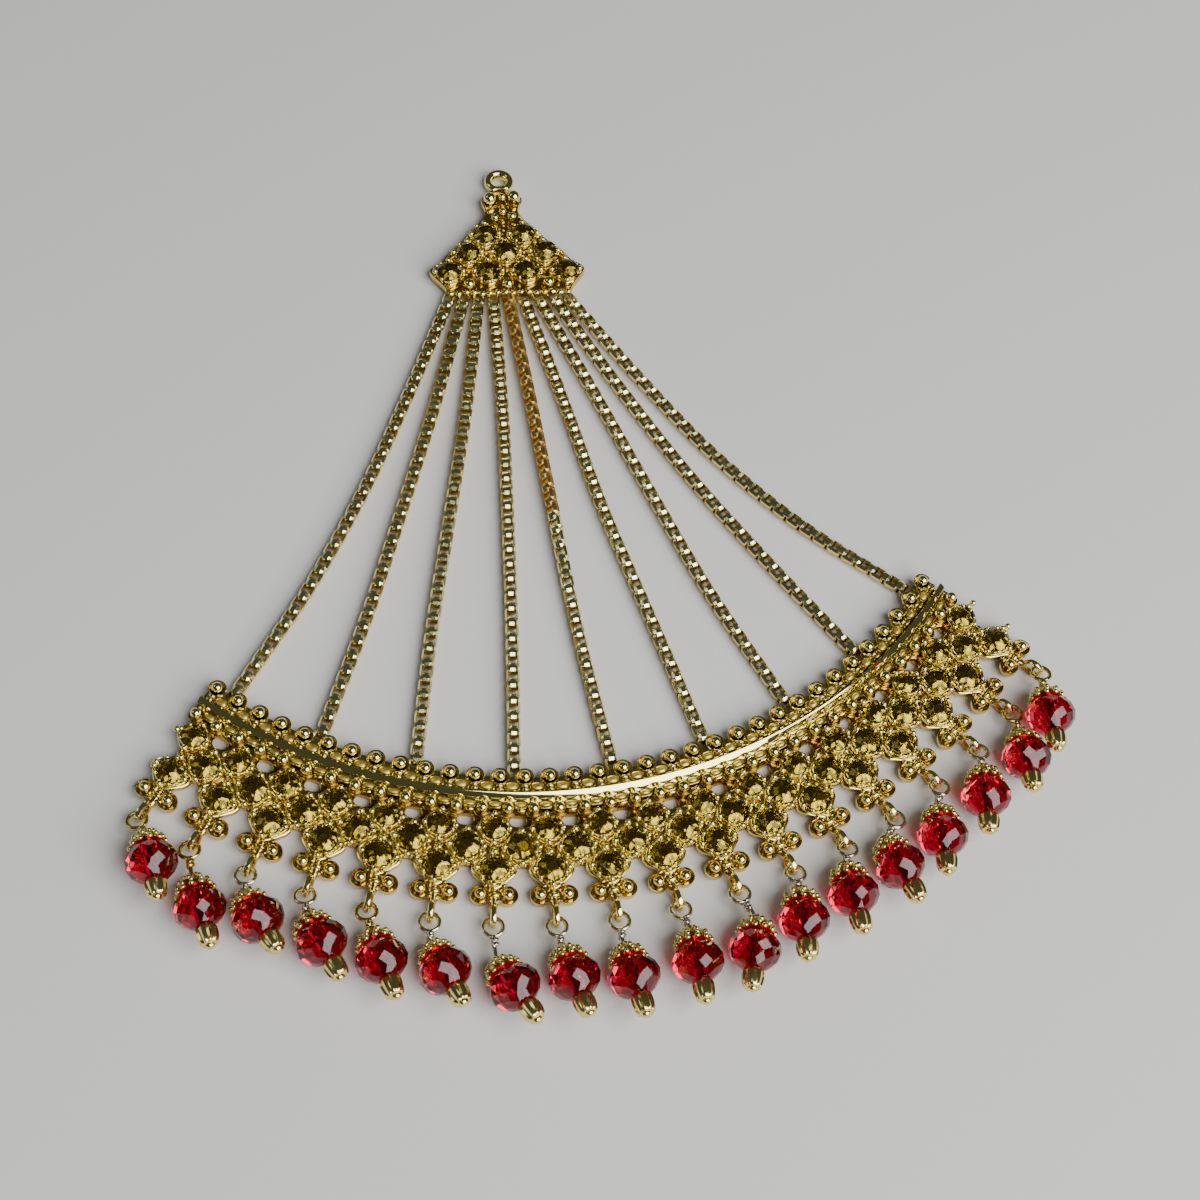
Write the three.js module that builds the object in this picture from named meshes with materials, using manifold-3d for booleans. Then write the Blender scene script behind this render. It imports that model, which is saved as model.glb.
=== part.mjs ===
// A side-of-head jhoomar lying flat on its back: an eyed top plate, nine box chains, a crescent plate
// and eighteen drops.
// Millimetres, +Z up from the table, the crescent at -Y and the hanging eye at +Y.
import * as THREE from "three";
import { mergeVertices } from "three/addons/utils/BufferGeometryUtils.js";
import Module from "manifold-3d";

const wasm = await Module();
wasm.setup();
const { Manifold, Mesh } = wasm;

// The whole layout is drawn about the common centre of the crescent's arcs, then moved so that the
// origin is the middle of the bounding box at table level.
const ORIGIN_X = -0.173;
const ORIGIN_Y = -28.094;

// crescent plate
const PITCH = 5.141; // degrees from one trefoil to the next
const TREFOILS = 18;
const PLATE_TOP = 1.6;
const RELIEF_FROM = 0.4; // height inside the plate from which the raised bands start
const EDGE_R = 57.9; // inner edge, where the chains arrive
const EDGE_REACH = 46.6; // degrees to either side of straight down
const TOP_RAIL = { inner: 58.05, outer: 60.15, top: 1.95, reach: 46.3 };
const BAR = { inner: 60.5, outer: 61.35, top: 2.55, reach: 46.4 };
const LOW_RAIL = { inner: 61.75, outer: 62.95, top: 1.95, reach: 46.1 };
const BAND_STEPS = 22;
const EDGE_STEPS = 24;
// A row's balls stand a pitch apart, a little wider towards the ends (stretch), the middle ones moved back.
const TOP_BALLS = { count: 34, pitch: 2.72, stretch: 0.000227, back: 0.45, r: 58.6 };
const LOW_BALLS = { count: 36, pitch: 2.614, stretch: 0, back: 0, r: 62.55 };
const BALL_RADIUS = 0.64;
const BALL_TOP = 2.75;
const BALL_FOOT = 1.2; // height inside the plate from which a ball starts
const BALL_CROWN = 0.5; // share of its radius left at its top
const BALL_SIDES = 5;
const TREFOIL_R = 72.6;
const TREFOIL_BALL = 1.53; // half the spacing of a trefoil's two balls
const TREFOIL_TOP = 2.5;
const LOBE = 1.02;
const LOBE_FROM = 60; // degrees along a lobe's rim where it leaves the shoulder
const LOBE_TURN = 55;
const LOBE_POINTS = 5;
// The crescent's outer edge beside a trefoil: radius from the arcs' centre and distance to the side.
const SHOULDER = [
  { r: 69.75, across: 2.3 },
  { r: 71.45, across: 0.95 },
];
const STEM = [
  { r: 73.6, across: 0.45 },
  { r: 74.3, across: 0.4 },
];
const NOTCH = { r: 69.35, across: 0.45 };
const END_STEPS = [
  { r: 63.5, across: 2.85 },
  { r: 64.7, across: 2.7 },
  { r: 66.9, across: 0.85 },
  { r: 67.5, across: 0.85 },
];
const END_CORNER = { r: 61.4, reach: 46.7 };
// Rows of square settings turned on their corners; the middle row has one fewer and sits between
// the trefoils.
const ROWS = [
  { r: 64.8, count: 18, pitch: 5.228 },
  { r: 67.1, count: 17, pitch: 5.2 },
  { r: 69.6, count: 18, pitch: 5.175 },
];
const SETTING = { foot: 2.15, crown: 1.75, top: 2.7, from: 1.0 }; // half diagonals and heights
// A hole's six corners: radius and distance to the side.
const HOLE_PITCH = 5.228;
const HOLE = [
  { r: 63.0, across: -0.95 },
  { r: 63.0, across: 0.95 },
  { r: 63.85, across: 0.9 },
  { r: 64.35, across: 0.4 },
  { r: 64.35, across: -0.4 },
  { r: 63.85, across: -0.9 },
];
const THROUGH = { bottom: -1, top: 5 }; // a cut deeper than the plate and its relief

// cast loops and the eyes linked through them
const WIRE = 0.25;
const LOOP_MEAN = 1.08;
const LOOP_R = 75.02;
const LOOP_Z = 1.38;

// drops
const BEAD = { girdle: 2.9, shoulder: 2.62, shoulderAt: 1.2, end: 1.6, half: 2.3, bore: 0.6 };
const SHANK = 0.29;
const BEAD_LIFT = 0.03; // air under a bead
const BEAD_SIDES = 8;
const CAP_TIP = 3.7;
// profiles about the drop's axis: radius, and distance along it from the bead's centre
const CAP_SIDES = 8;
const CAP = [
  { r: 0, z: -CAP_TIP },
  { r: 0.6, z: -CAP_TIP },
  { r: 1.95, z: -2.95 },
  { r: 2.3, z: -2.16 },
  { r: 1.9, z: -2.6 },
  { r: 1.6, z: -2.74 },
  { r: 0, z: -2.74 },
];
const END_BEAD_SIDES = 6;
const END_BEAD = [
  { r: 0, z: 2.62 },
  { r: 0.85, z: 2.62 },
  { r: 1.15, z: 3.2 },
  { r: 0.85, z: 4.6 },
  { r: 0, z: 5.05 },
];
const ROD = { from: -3.2, to: 2.9, sides: 5 };
const EYE_PLAY = 0.12; // how far an eye has slid along its loop
const NECK_SINK = 0.15; // how far the neck runs into the cap
const NECK = { rise: 0.35, towardsEye: 0.35, steps: 3 };
const RING = { section: 5, around: 10 }; // facets of a loop or an eye
// Where each bead came to rest: its centre, the heading of its axis from straight down the piece, and
// the lift of its far end.
const DROPS = [
  { x: -51.45, y: -60.95, heading: 4, lift: 14 },
  { x: -47.05, y: -67.05, heading: 7, lift: 9 },
  { x: -41.25, y: -69.45, heading: 20, lift: 17 },
  { x: -35.15, y: -73.25, heading: 18, lift: 10 },
  { x: -29.25, y: -76.3, heading: 9, lift: 13 },
  { x: -22.95, y: -78.75, heading: 15, lift: 19 },
  { x: -16.15, y: -81.85, heading: 20, lift: 16 },
  { x: -9.75, y: -82.0, heading: 6, lift: 15 },
  { x: -3.55, y: -83.05, heading: 3, lift: 13 },
  { x: 3.5, y: -82.7, heading: -4, lift: 10 },
  { x: 9.85, y: -82.6, heading: -20, lift: 9 },
  { x: 15.95, y: -80.3, heading: -10, lift: 10 },
  { x: 22.15, y: -78.45, heading: -4, lift: 11 },
  { x: 28.25, y: -76.2, heading: 9, lift: 13 },
  { x: 34.0, y: -73.6, heading: -12, lift: 11 },
  { x: 40.4, y: -69.8, heading: -15, lift: 9 },
  { x: 46.6, y: -66.05, heading: -12, lift: 17 },
  { x: 51.15, y: -61.3, heading: -11, lift: 10 },
];

// top plate, drawn in its own frame (u across, v up) and laid a little askew
const HEAD = { x: 1.77, y: 11.2, turn: -6.8 };
const HEAD_TOP = 1.6;
const HEAD_OUTLINE = [
  { u: 8.0, v: -0.75 },
  { u: 8.35, v: 0.4 },
  { u: 9.9, v: 2.35 },
  { u: 10.2, v: 3.1 },
  { u: 9.7, v: 3.8 },
  { u: 8.5, v: 4.5 },
  { u: 7.7, v: 5.9 },
  { u: 6.9, v: 6.7 },
  { u: 5.3, v: 8.4 },
  { u: 4.8, v: 9.2 },
  { u: 3.1, v: 11.1 },
  { u: 2.1, v: 12.9 },
  { u: 2.35, v: 13.7 },
  { u: 2.65, v: 14.7 },
  { u: 2.2, v: 15.6 },
  { u: 1.3, v: 16.4 },
  { u: 0.95, v: 17.1 },
];
const HEAD_ROWS = [
  { v: 2.75, us: [-7.6, -2.5, 2.5, 7.6] },
  { v: 5.93, us: [-5.0, 0, 5.0] },
  { v: 8.95, us: [-2.5, 2.5] },
];
const HEAD_BALLS = [
  { u: -5.1, v: 0.5, r: 0.7 },
  { u: -0.1, v: 0.45, r: 0.7 },
  { u: 5.2, v: 0.6, r: 0.7 },
  { u: -1.4, v: 14.95, r: 0.78 },
  { u: 1.75, v: 15.2, r: 0.78 },
  { u: 0.2, v: 15.15, r: 0.5 },
  { u: -1.0, v: 11.6, r: 0.5 },
  { u: 1.25, v: 11.75, r: 0.6 },
  { u: 0.1, v: 12.6, r: 0.5 },
];
const HEAD_BALL_MIDDLE = 2.0;
const EYE = { u: 0.1, v: 18.7, outer: 2.02, inner: 0.9, height: 1.5 };
const EYE_ROUNDING = { foot: 0.3, edge: 0.2, round: 0.28, fall: 0.35 };
const EYE_SIDES = 18;

// chains: the sideways bow of each one at a quarter, half and three quarters of its length
const CHAIN_HALF = 0.7;
const CHAIN_BEVEL = 0.2;
const CHAIN_Z = 0.74;
const CHAIN_STEPS = 15;
const CHAIN_FOOT_R = 56.9;
const CHAIN_FOOT_PITCH = 11.068; // degrees
const CHAIN_HEAD_V = -2.75;
const CHAIN_HEAD_PITCH = 2.12;
const TAB = { half: 0.62, bottom: 0.1, top: 1.4 }; // the tab each chain end is fastened to
const FOOT_TAB = { inner: 57.3, outer: 59 };
const HEAD_TAB = { pitch: 2.056, tip: -2.15, root: -0.4 };
const CHAINS = [
  { quarter: 1.15, half: 1.9, threeQuarter: 1.6 },
  { quarter: 0.6, half: 0.75, threeQuarter: 0.7 },
  { quarter: 0.27, half: 0.05, threeQuarter: -0.24 },
  { quarter: 0.5, half: 0.53, threeQuarter: 0.4 },
  { quarter: -0.12, half: -0.37, threeQuarter: -0.5 },
  { quarter: -0.23, half: -0.69, threeQuarter: -0.34 },
  { quarter: -0.25, half: -0.7, threeQuarter: -0.9 },
  { quarter: -1.0, half: -1.5, threeQuarter: -1.0 },
  { quarter: -1.95, half: -3.2, threeQuarter: -2.6 },
];

const MIDDLE_CHAIN = (CHAINS.length - 1) / 2;

const rad = (degrees) => (degrees * Math.PI) / 180;
const GOLD = { color: 0xd9a93f, roughness: 0.22, metalness: 1 };
const RED = { color: 0xa3061a, roughness: 0.08, metalness: 0 };

// A three.js geometry as a closed solid.
function solid(geometry) {
  const plain = new THREE.BufferGeometry();
  const source = geometry.index ? geometry.toNonIndexed() : geometry;
  plain.setAttribute("position", source.getAttribute("position"));
  const merged = mergeVertices(plain, 1e-4);
  return new Manifold(
    new Mesh({
      numProp: 3,
      vertProperties: merged.attributes.position.array,
      triVerts: new Uint32Array(merged.index.array),
    }),
  );
}

function flipped(geometry) {
  const plain = geometry.toNonIndexed();
  const array = plain.getAttribute("position").array;
  for (let i = 0; i < array.length; i += 9) {
    for (let k = 0; k < 3; k++) {
      const kept = array[i + k];
      array[i + k] = array[i + 3 + k];
      array[i + 3 + k] = kept;
    }
  }
  return plain;
}

// The same, turned inside out where its faces would point inwards.
function outward(geometry) {
  const made = solid(geometry);
  return made.volume() < 0 ? solid(flipped(geometry)) : made;
}

// A closed solid as a named mesh with its own material.
function meshOf(name, made, look) {
  const data = made.getMesh();
  const places = new Float32Array(data.vertProperties);
  const corners = new Uint32Array(data.triVerts);
  const geometry = new THREE.BufferGeometry();
  geometry.setAttribute("position", new THREE.BufferAttribute(places, 3));
  geometry.setIndex(new THREE.BufferAttribute(corners, 1));
  geometry.computeVertexNormals();
  const mesh = new THREE.Mesh(geometry, new THREE.MeshStandardMaterial(look));
  mesh.name = name;
  return mesh;
}

// The point `across` to the side of the ray at `degrees`, `r` out from the arc centre.
function onArc(r, degrees, across = 0) {
  const a = rad(degrees);
  return new THREE.Vector2(
    r * Math.sin(a) + across * Math.cos(a) - ORIGIN_X,
    -r * Math.cos(a) + across * Math.sin(a) - ORIGIN_Y,
  );
}

function onHead(u, v) {
  const a = rad(HEAD.turn);
  return new THREE.Vector2(
    HEAD.x + u * Math.cos(a) - v * Math.sin(a) - ORIGIN_X,
    HEAD.y + u * Math.sin(a) + v * Math.cos(a) - ORIGIN_Y,
  );
}

function slab(points, bottom, top) {
  const shape = new THREE.Shape(points);
  const geometry = new THREE.ExtrudeGeometry(shape, { depth: top - bottom, bevelEnabled: false });
  return solid(geometry.translate(0, 0, bottom));
}

// A band that follows the arcs, from one radius to another.
function band({ inner, outer, top, reach }) {
  const points = [];
  for (let i = 0; i <= BAND_STEPS; i++) {
    points.push(onArc(inner, -reach + (2 * reach * i) / BAND_STEPS));
  }
  for (let i = BAND_STEPS; i >= 0; i--) {
    points.push(onArc(outer, -reach + (2 * reach * i) / BAND_STEPS));
  }
  return slab(points, RELIEF_FROM, top);
}

// A solid of revolution about +Z, its first and last rows closed by the axis or by each other.
function turned(rows, sides) {
  const points = rows.map((row) => new THREE.Vector2(row.r, row.z));
  const geometry = new THREE.LatheGeometry(points, sides);
  return outward(geometry.rotateX(Math.PI / 2));
}

// A prism about +Z narrowing from one radius to another.
function taper({ at, foot, crown, from, top, sides, degrees }) {
  const geometry = new THREE.CylinderGeometry(crown, foot, top - from, sides);
  geometry.rotateX(Math.PI / 2);
  geometry.rotateZ(rad(degrees));
  geometry.translate(at.x, at.y, (top + from) / 2);
  return solid(geometry);
}

function ball(at, radius, top) {
  const crown = radius * BALL_CROWN;
  return taper({ at, foot: radius, crown, from: BALL_FOOT, top, sides: BALL_SIDES, degrees: 0 });
}

// A square setting standing on its corner.
function setting(at, degrees) {
  return taper({ ...SETTING, at, sides: 4, degrees });
}

// The angle of item i of a row spread evenly about straight down.
const spread = (i, count, pitch) => (i - (count - 1) / 2) * pitch;
const trefoilAngle = (k) => spread(k, TREFOILS, PITCH);

function ballAngle(i, row) {
  const k = spread(i, row.count, 1);
  const share = k / spread(0, row.count, 1);
  return row.pitch * k + row.stretch * k ** 3 - row.back * (1 - share * share);
}

// The crescent's edge on one side (-1 or 1) of a trefoil, from the notch or the crescent's end to the stem.
function flank(k, side) {
  const a = trefoilAngle(k);
  const atEnd = k === (side < 0 ? 0 : TREFOILS - 1);
  const points = [];
  if (atEnd) {
    for (const p of END_STEPS) points.push(onArc(p.r, a, side * p.across));
  } else {
    points.push(onArc(NOTCH.r, a + (side * PITCH) / 2, -side * NOTCH.across));
  }
  for (const p of SHOULDER) points.push(onArc(p.r, a, side * p.across));
  for (let i = 0; i < LOBE_POINTS; i++) {
    const t = rad(LOBE_FROM - i * LOBE_TURN);
    const across = TREFOIL_BALL + LOBE * Math.cos(t);
    points.push(onArc(TREFOIL_R - LOBE * Math.sin(t), a, side * across));
  }
  for (const p of STEM) points.push(onArc(p.r, a, side * p.across));
  return points;
}

function crescentOutline() {
  const points = [];
  for (let i = 0; i <= EDGE_STEPS; i++) {
    points.push(onArc(EDGE_R, EDGE_REACH - (2 * EDGE_REACH * i) / EDGE_STEPS));
  }
  points.push(onArc(END_CORNER.r, -END_CORNER.reach));
  for (let k = 0; k < TREFOILS; k++) {
    points.push(...flank(k, -1), ...flank(k, 1).reverse());
  }
  points.push(onArc(END_CORNER.r, END_CORNER.reach));
  return points;
}

function ring() {
  return new THREE.TorusGeometry(LOOP_MEAN, WIRE, RING.section, RING.around);
}

function castLoop(k) {
  const a = trefoilAngle(k);
  const at = onArc(LOOP_R, a);
  const loop = ring().rotateX(Math.PI / 2).rotateZ(rad(a - 90));
  return solid(loop.translate(at.x, at.y, LOOP_Z));
}

function hole(i) {
  const a = spread(i, TREFOILS - 1, HOLE_PITCH);
  const corners = HOLE.map((p) => onArc(p.r, a, p.across));
  return slab(corners, THROUGH.bottom, THROUGH.top);
}

function footTab(i) {
  const a = (i - MIDDLE_CHAIN) * CHAIN_FOOT_PITCH;
  const { inner, outer } = FOOT_TAB;
  const { half, bottom, top } = TAB;
  const near = [onArc(inner, a, -half), onArc(inner, a, half)];
  const far = [onArc(outer, a, half), onArc(outer, a, -half)];
  return slab([...near, ...far], bottom, top);
}

function crescentPlate() {
  const parts = [slab(crescentOutline(), 0, PLATE_TOP), band(TOP_RAIL), band(BAR), band(LOW_RAIL)];
  for (const row of [TOP_BALLS, LOW_BALLS]) {
    for (let i = 0; i < row.count; i++) {
      parts.push(ball(onArc(row.r, ballAngle(i, row)), BALL_RADIUS, BALL_TOP));
    }
  }
  for (const row of ROWS) {
    for (let i = 0; i < row.count; i++) {
      const a = spread(i, row.count, row.pitch);
      parts.push(setting(onArc(row.r, a), a));
    }
  }
  for (let k = 0; k < TREFOILS; k++) {
    const a = trefoilAngle(k);
    parts.push(ball(onArc(TREFOIL_R, a, -TREFOIL_BALL), BALL_RADIUS, TREFOIL_TOP));
    parts.push(ball(onArc(TREFOIL_R, a, TREFOIL_BALL), BALL_RADIUS, TREFOIL_TOP));
    parts.push(castLoop(k));
  }
  CHAINS.forEach((_, i) => parts.push(footTab(i)));
  const holes = [];
  for (let i = 0; i < TREFOILS - 1; i++) holes.push(hole(i));
  return Manifold.union(parts).subtract(Manifold.union(holes));
}

function headTab(i) {
  const u = (i - MIDDLE_CHAIN) * HEAD_TAB.pitch;
  const { tip, root } = HEAD_TAB;
  const { half, bottom, top } = TAB;
  const near = [onHead(u - half, tip), onHead(u + half, tip)];
  const far = [onHead(u + half, root), onHead(u - half, root)];
  return slab([...near, ...far], bottom, top);
}

function hangingEye() {
  const { u, v, outer, inner, height } = EYE;
  const { foot, edge, round, fall } = EYE_ROUNDING;
  const rows = [
    { r: inner, z: foot },
    { r: inner + edge, z: 0 },
    { r: outer - edge, z: 0 },
    { r: outer, z: foot },
    { r: outer, z: height - fall },
    { r: outer - round, z: height },
    { r: inner + round, z: height },
    { r: inner, z: height - fall },
    { r: inner, z: foot },
  ];
  const at = onHead(u, v);
  return turned(rows, EYE_SIDES).translate([at.x, at.y, 0]);
}

function headPlate() {
  const right = HEAD_OUTLINE.map((p) => onHead(p.u, p.v));
  const left = [...HEAD_OUTLINE].reverse().map((p) => onHead(-p.u, p.v));
  const parts = [slab([...right, ...left], 0, HEAD_TOP), hangingEye()];
  for (const row of HEAD_ROWS) {
    for (const u of row.us) parts.push(setting(onHead(u, row.v), HEAD.turn));
  }
  for (const b of HEAD_BALLS) parts.push(ball(onHead(b.u, b.v), b.r, HEAD_BALL_MIDDLE + b.r));
  CHAINS.forEach((_, i) => parts.push(headTab(i)));
  return Manifold.union(parts);
}

function chainPath(i) {
  const foot = onArc(CHAIN_FOOT_R, (i - MIDDLE_CHAIN) * CHAIN_FOOT_PITCH);
  const top = onHead((i - MIDDLE_CHAIN) * CHAIN_HEAD_PITCH, CHAIN_HEAD_V);
  const along = foot.clone().sub(top);
  const side = new THREE.Vector2(-along.y, along.x).normalize();
  const { quarter, half, threeQuarter } = CHAINS[i];
  const bow = [0, quarter, half, threeQuarter, 0];
  const points = bow.map((offset, n) => {
    const p = top.clone().addScaledVector(along, n / (bow.length - 1)).addScaledVector(side, offset);
    return new THREE.Vector3(p.x, p.y, CHAIN_Z);
  });
  return new THREE.CatmullRomCurve3(points, false, "centripetal");
}

function chain(i) {
  const h = CHAIN_HALF;
  const c = CHAIN_HALF - CHAIN_BEVEL;
  const section = new THREE.Shape([
    new THREE.Vector2(h, c),
    new THREE.Vector2(c, h),
    new THREE.Vector2(-c, h),
    new THREE.Vector2(-h, c),
    new THREE.Vector2(-h, -c),
    new THREE.Vector2(-c, -h),
    new THREE.Vector2(c, -h),
    new THREE.Vector2(h, -c),
  ]);
  return outward(new THREE.ExtrudeGeometry(section, { steps: CHAIN_STEPS, extrudePath: chainPath(i) }));
}

// Height of a bead's centre when its shoulder or girdle touches the table.
function beadRest(lift) {
  const t = rad(lift);
  const girdle = BEAD.girdle * Math.cos(t);
  const shoulder = BEAD.shoulder * Math.cos(t) + BEAD.shoulderAt * Math.sin(t);
  return Math.max(girdle, shoulder) + BEAD_LIFT;
}

// The matrix that lays +Z of a turned piece along the drop's axis, far end up, with the origin at the
// bead's centre.
function dropFrame(drop) {
  const h = rad(drop.heading);
  const t = rad(drop.lift);
  const axis = new THREE.Vector3(Math.sin(h) * Math.cos(t), -Math.cos(h) * Math.cos(t), Math.sin(t));
  const side = new THREE.Vector3(Math.cos(h), Math.sin(h), 0);
  const upper = new THREE.Vector3().crossVectors(axis, side);
  const frame = new THREE.Matrix4().makeBasis(side, upper, axis);
  frame.setPosition(drop.x - ORIGIN_X, drop.y - ORIGIN_Y, beadRest(drop.lift));
  return frame;
}

function bead(drop) {
  const { bore, end, half, shoulder, shoulderAt, girdle } = BEAD;
  const rows = [
    { r: bore, z: -half },
    { r: end, z: -half },
    { r: shoulder, z: -shoulderAt },
    { r: girdle, z: 0 },
    { r: shoulder, z: shoulderAt },
    { r: end, z: half },
    { r: bore, z: half },
    { r: bore, z: -half },
  ];
  return turned(rows, BEAD_SIDES).transform(dropFrame(drop).elements);
}

function shank() {
  const geometry = new THREE.CylinderGeometry(SHANK, SHANK, ROD.to - ROD.from, ROD.sides);
  geometry.rotateX(Math.PI / 2);
  return solid(geometry.translate(0, 0, (ROD.from + ROD.to) / 2));
}

function wireSection() {
  const points = [];
  for (let i = 0; i < ROD.sides; i++) {
    const a = (2 * Math.PI * i) / ROD.sides;
    points.push(new THREE.Vector2(SHANK * Math.cos(a), SHANK * Math.sin(a)));
  }
  return new THREE.Shape(points);
}

// Eye, neck, shank, bead cap, end bead and pin head, all held on one thread.
function pin(k) {
  const frame = dropFrame(DROPS[k]);
  const threaded = [shank(), turned(CAP, CAP_SIDES), turned(END_BEAD, END_BEAD_SIDES)];
  const straight = Manifold.union(threaded).transform(frame.elements);
  const tip = new THREE.Vector3(0, 0, NECK_SINK - CAP_TIP).applyMatrix4(frame);
  const w = onArc(LOOP_R + LOOP_MEAN, trefoilAngle(k));
  const link = new THREE.Vector3(w.x, w.y, LOOP_Z);
  const toTip = tip.clone().sub(link).normalize();
  const eye = link.clone().addScaledVector(toTip, EYE_PLAY);
  const normal = new THREE.Vector3(0, 0, 1).addScaledVector(toTip, -toTip.z).normalize();
  const across = new THREE.Vector3().crossVectors(normal, toTip);
  const eyeFrame = new THREE.Matrix4().makeBasis(toTip, across, normal).setPosition(eye);
  const eyeRing = solid(ring()).transform(eyeFrame.elements);
  const root = eye.clone().addScaledVector(toTip, LOOP_MEAN);
  const bend = new THREE.Vector3(0, 0, -CAP_TIP - NECK.rise).applyMatrix4(frame);
  const curve = new THREE.CatmullRomCurve3([root, bend.lerp(root, NECK.towardsEye), tip]);
  const neck = outward(new THREE.ExtrudeGeometry(wireSection(), { steps: NECK.steps, extrudePath: curve }));
  return Manifold.union([straight, eyeRing, neck]);
}

const jhoomar = new THREE.Group();
jhoomar.name = "jhoomar";
jhoomar.add(meshOf("top_plate", headPlate(), GOLD));
jhoomar.add(meshOf("crescent_plate", crescentPlate(), GOLD));
CHAINS.forEach((_, i) => jhoomar.add(meshOf(`chain_${i + 1}`, chain(i), GOLD)));
DROPS.forEach((drop, k) => {
  jhoomar.add(meshOf(`drop_bead_${k + 1}`, bead(drop), RED));
  jhoomar.add(meshOf(`drop_pin_${k + 1}`, pin(k), GOLD));
});

export default jhoomar;
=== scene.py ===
"""A stone-set jhoomar lying on its back: castings, stones, box chains and bead drops, built around
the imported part."""
import math

import bpy
import numpy as np
from bpy.props import FloatProperty, FloatVectorProperty, PointerProperty
from bpy.types import Operator, Panel, PropertyGroup
from mathutils import Matrix, Vector


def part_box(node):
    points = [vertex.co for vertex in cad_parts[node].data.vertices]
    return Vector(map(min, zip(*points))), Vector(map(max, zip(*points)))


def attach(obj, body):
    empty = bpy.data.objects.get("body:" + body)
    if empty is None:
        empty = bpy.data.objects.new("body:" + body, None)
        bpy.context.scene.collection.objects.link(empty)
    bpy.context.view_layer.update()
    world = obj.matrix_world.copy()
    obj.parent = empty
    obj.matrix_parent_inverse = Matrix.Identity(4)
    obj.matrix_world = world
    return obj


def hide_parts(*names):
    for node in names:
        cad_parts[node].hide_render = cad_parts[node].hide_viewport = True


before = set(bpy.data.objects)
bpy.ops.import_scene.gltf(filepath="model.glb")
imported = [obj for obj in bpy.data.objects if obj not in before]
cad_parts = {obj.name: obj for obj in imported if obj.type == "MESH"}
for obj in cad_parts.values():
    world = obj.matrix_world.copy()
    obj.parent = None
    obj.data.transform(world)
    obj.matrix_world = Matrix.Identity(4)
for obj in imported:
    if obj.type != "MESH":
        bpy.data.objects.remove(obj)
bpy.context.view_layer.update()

bl_info = {
    "name": "Jhoomar",
    "version": (1, 0, 0),
    "blender": (4, 5, 0),
    "location": "3D View > Sidebar > Jhoomar",
    "description": "Builds the fine surfaces of a stone-set side ornament around its packed solids",
    "category": "Add Mesh",
}

# ---------------- layout, in millimetres and degrees

MM = 0.001
BODY = "root"
TAU = 2 * math.pi
SEED = 7

# The crescent: radii about the arcs' centre, and angles from straight down.
ARC_CENTRE = np.array([0.173, 28.094])
TOP_RAIL_R, TOP_RAIL_PITCH, TOP_RAIL_COUNT, TOP_BALL_Z = 58.6, 2.72, 34, 2.1
TOP_RAIL_WIDENS, TOP_RAIL_LEANS = 0.000227, 0.45
LOW_RAIL_R, LOW_RAIL_PITCH, LOW_RAIL_COUNT, LOW_BALL_Z = 62.55, 2.614, 36, 2.2
TOP_CELL_R, LOW_CELL_R = TOP_RAIL_R + 1.1, LOW_RAIL_R - 0.62
TREFOILS, TREFOIL_PITCH, TREFOIL_R, TREFOIL_BALL, TIP_BALL_Z = 18, 5.141, 72.6, 1.53, 1.86
ROW_R, ROW_PITCH, ROW_ONE_SHARE = (64.8, 67.1, 69.6), (5.228, 5.2, 5.175), 0.9
HOLE_R, HOLE_PITCH, HOLE_ACROSS, HOLE_OVAL = 63.62, 5.228, -0.3, (1.15, 0.82, 1)
POST_R, POST_ACROSS = 63.6, 1.25
LOOP_R, LOOP_Z, LOOP_MEAN, LOOP_WIRE = 75.02, 1.38, 1.08, 0.25
BANDS = (  # inner radius, outer radius, bottom, top, reach to each side in degrees
    (58.4, 60.2, 0.05, 1.42, 46.6),
    (58.2, 62.9, 0.04, 0.6, 46.5),
    (60.5, 62.35, 0.3, 1.45, 46.5),
    (64.35, 68.9, 0.03, 1.2, 44.6),
)
CORNER_BALLS = ((70, 70, 65.1, 65.1), (-45.6, 46.2, -46.3, 46.7))  # radii, degrees
CORNER_BALL_Z, CORNER_BALL_SHARE = 1.7, 0.62
BAR_R, BAR_HALF, BAR_REACH = 60.92, 0.4, 46.5
BAR_SECTION = (  # across, up
    (-BAR_HALF, 1), (BAR_HALF, 1), (BAR_HALF, 2), (0.36, 2.06), (-0.06, 2.41), (-0.2, 2.46),
    (-0.32, 2.42), (-BAR_HALF, 2.28),
)
BAR_STEEPER, BAR_STEEP_FROM, BAR_STEEP_TO = 0.17, 13, 36

# The top plate: u across it, v towards its eye, from the middle of its lower edge.
HEAD_ORIGIN, HEAD_TURN = np.array([1.943, 39.294]), -6.8
HEAD_ROWS = (  # v, each stone's u
    (2.75, (-7.6, -2.5, 2.5, 7.6)),
    (5.93, (-5, 0, 5)),
    (8.95, (-2.5, 2.5)),
)
HEAD_OUTLINE = (  # u, v of the right half
    (8, -0.75), (8.35, 0.4), (9.9, 2.35), (10.2, 3.1), (9.7, 3.8), (8.5, 4.5), (7.7, 5.9),
    (6.9, 6.7), (5.3, 8.4), (4.8, 9.2), (3.1, 11.1), (2.1, 12.9), (2.35, 13.7), (2.65, 14.7),
    (2.2, 15.6), (1.3, 16.4), (0.95, 17.1),
)
HEAD_BALLS = np.array([  # u, v, radius; the first five sit on pads
    (-5.1, 0.5, 0.7), (-0.1, 0.45, 0.7), (5.2, 0.6, 0.7), (-1.45, 14.9, 0.86), (1.75, 15.15, 0.86),
    (0.2, 15.15, 0.5), (-1, 11.6, 0.5), (1.25, 11.75, 0.6), (0.1, 12.6, 0.5),
])
HEAD_PADS, HEAD_BALL_Z = 5, 1.95
HEAD_GRAINS = np.array([(-4.9, 3.9), (-0.1, 3.6), (5.2, 3.3), (-2.4, 6.9), (2.7, 6.85), (0.2, 9.9)])
HEAD_PEARLS, HEAD_PEARL_REACH = 16, 7.6
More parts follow.
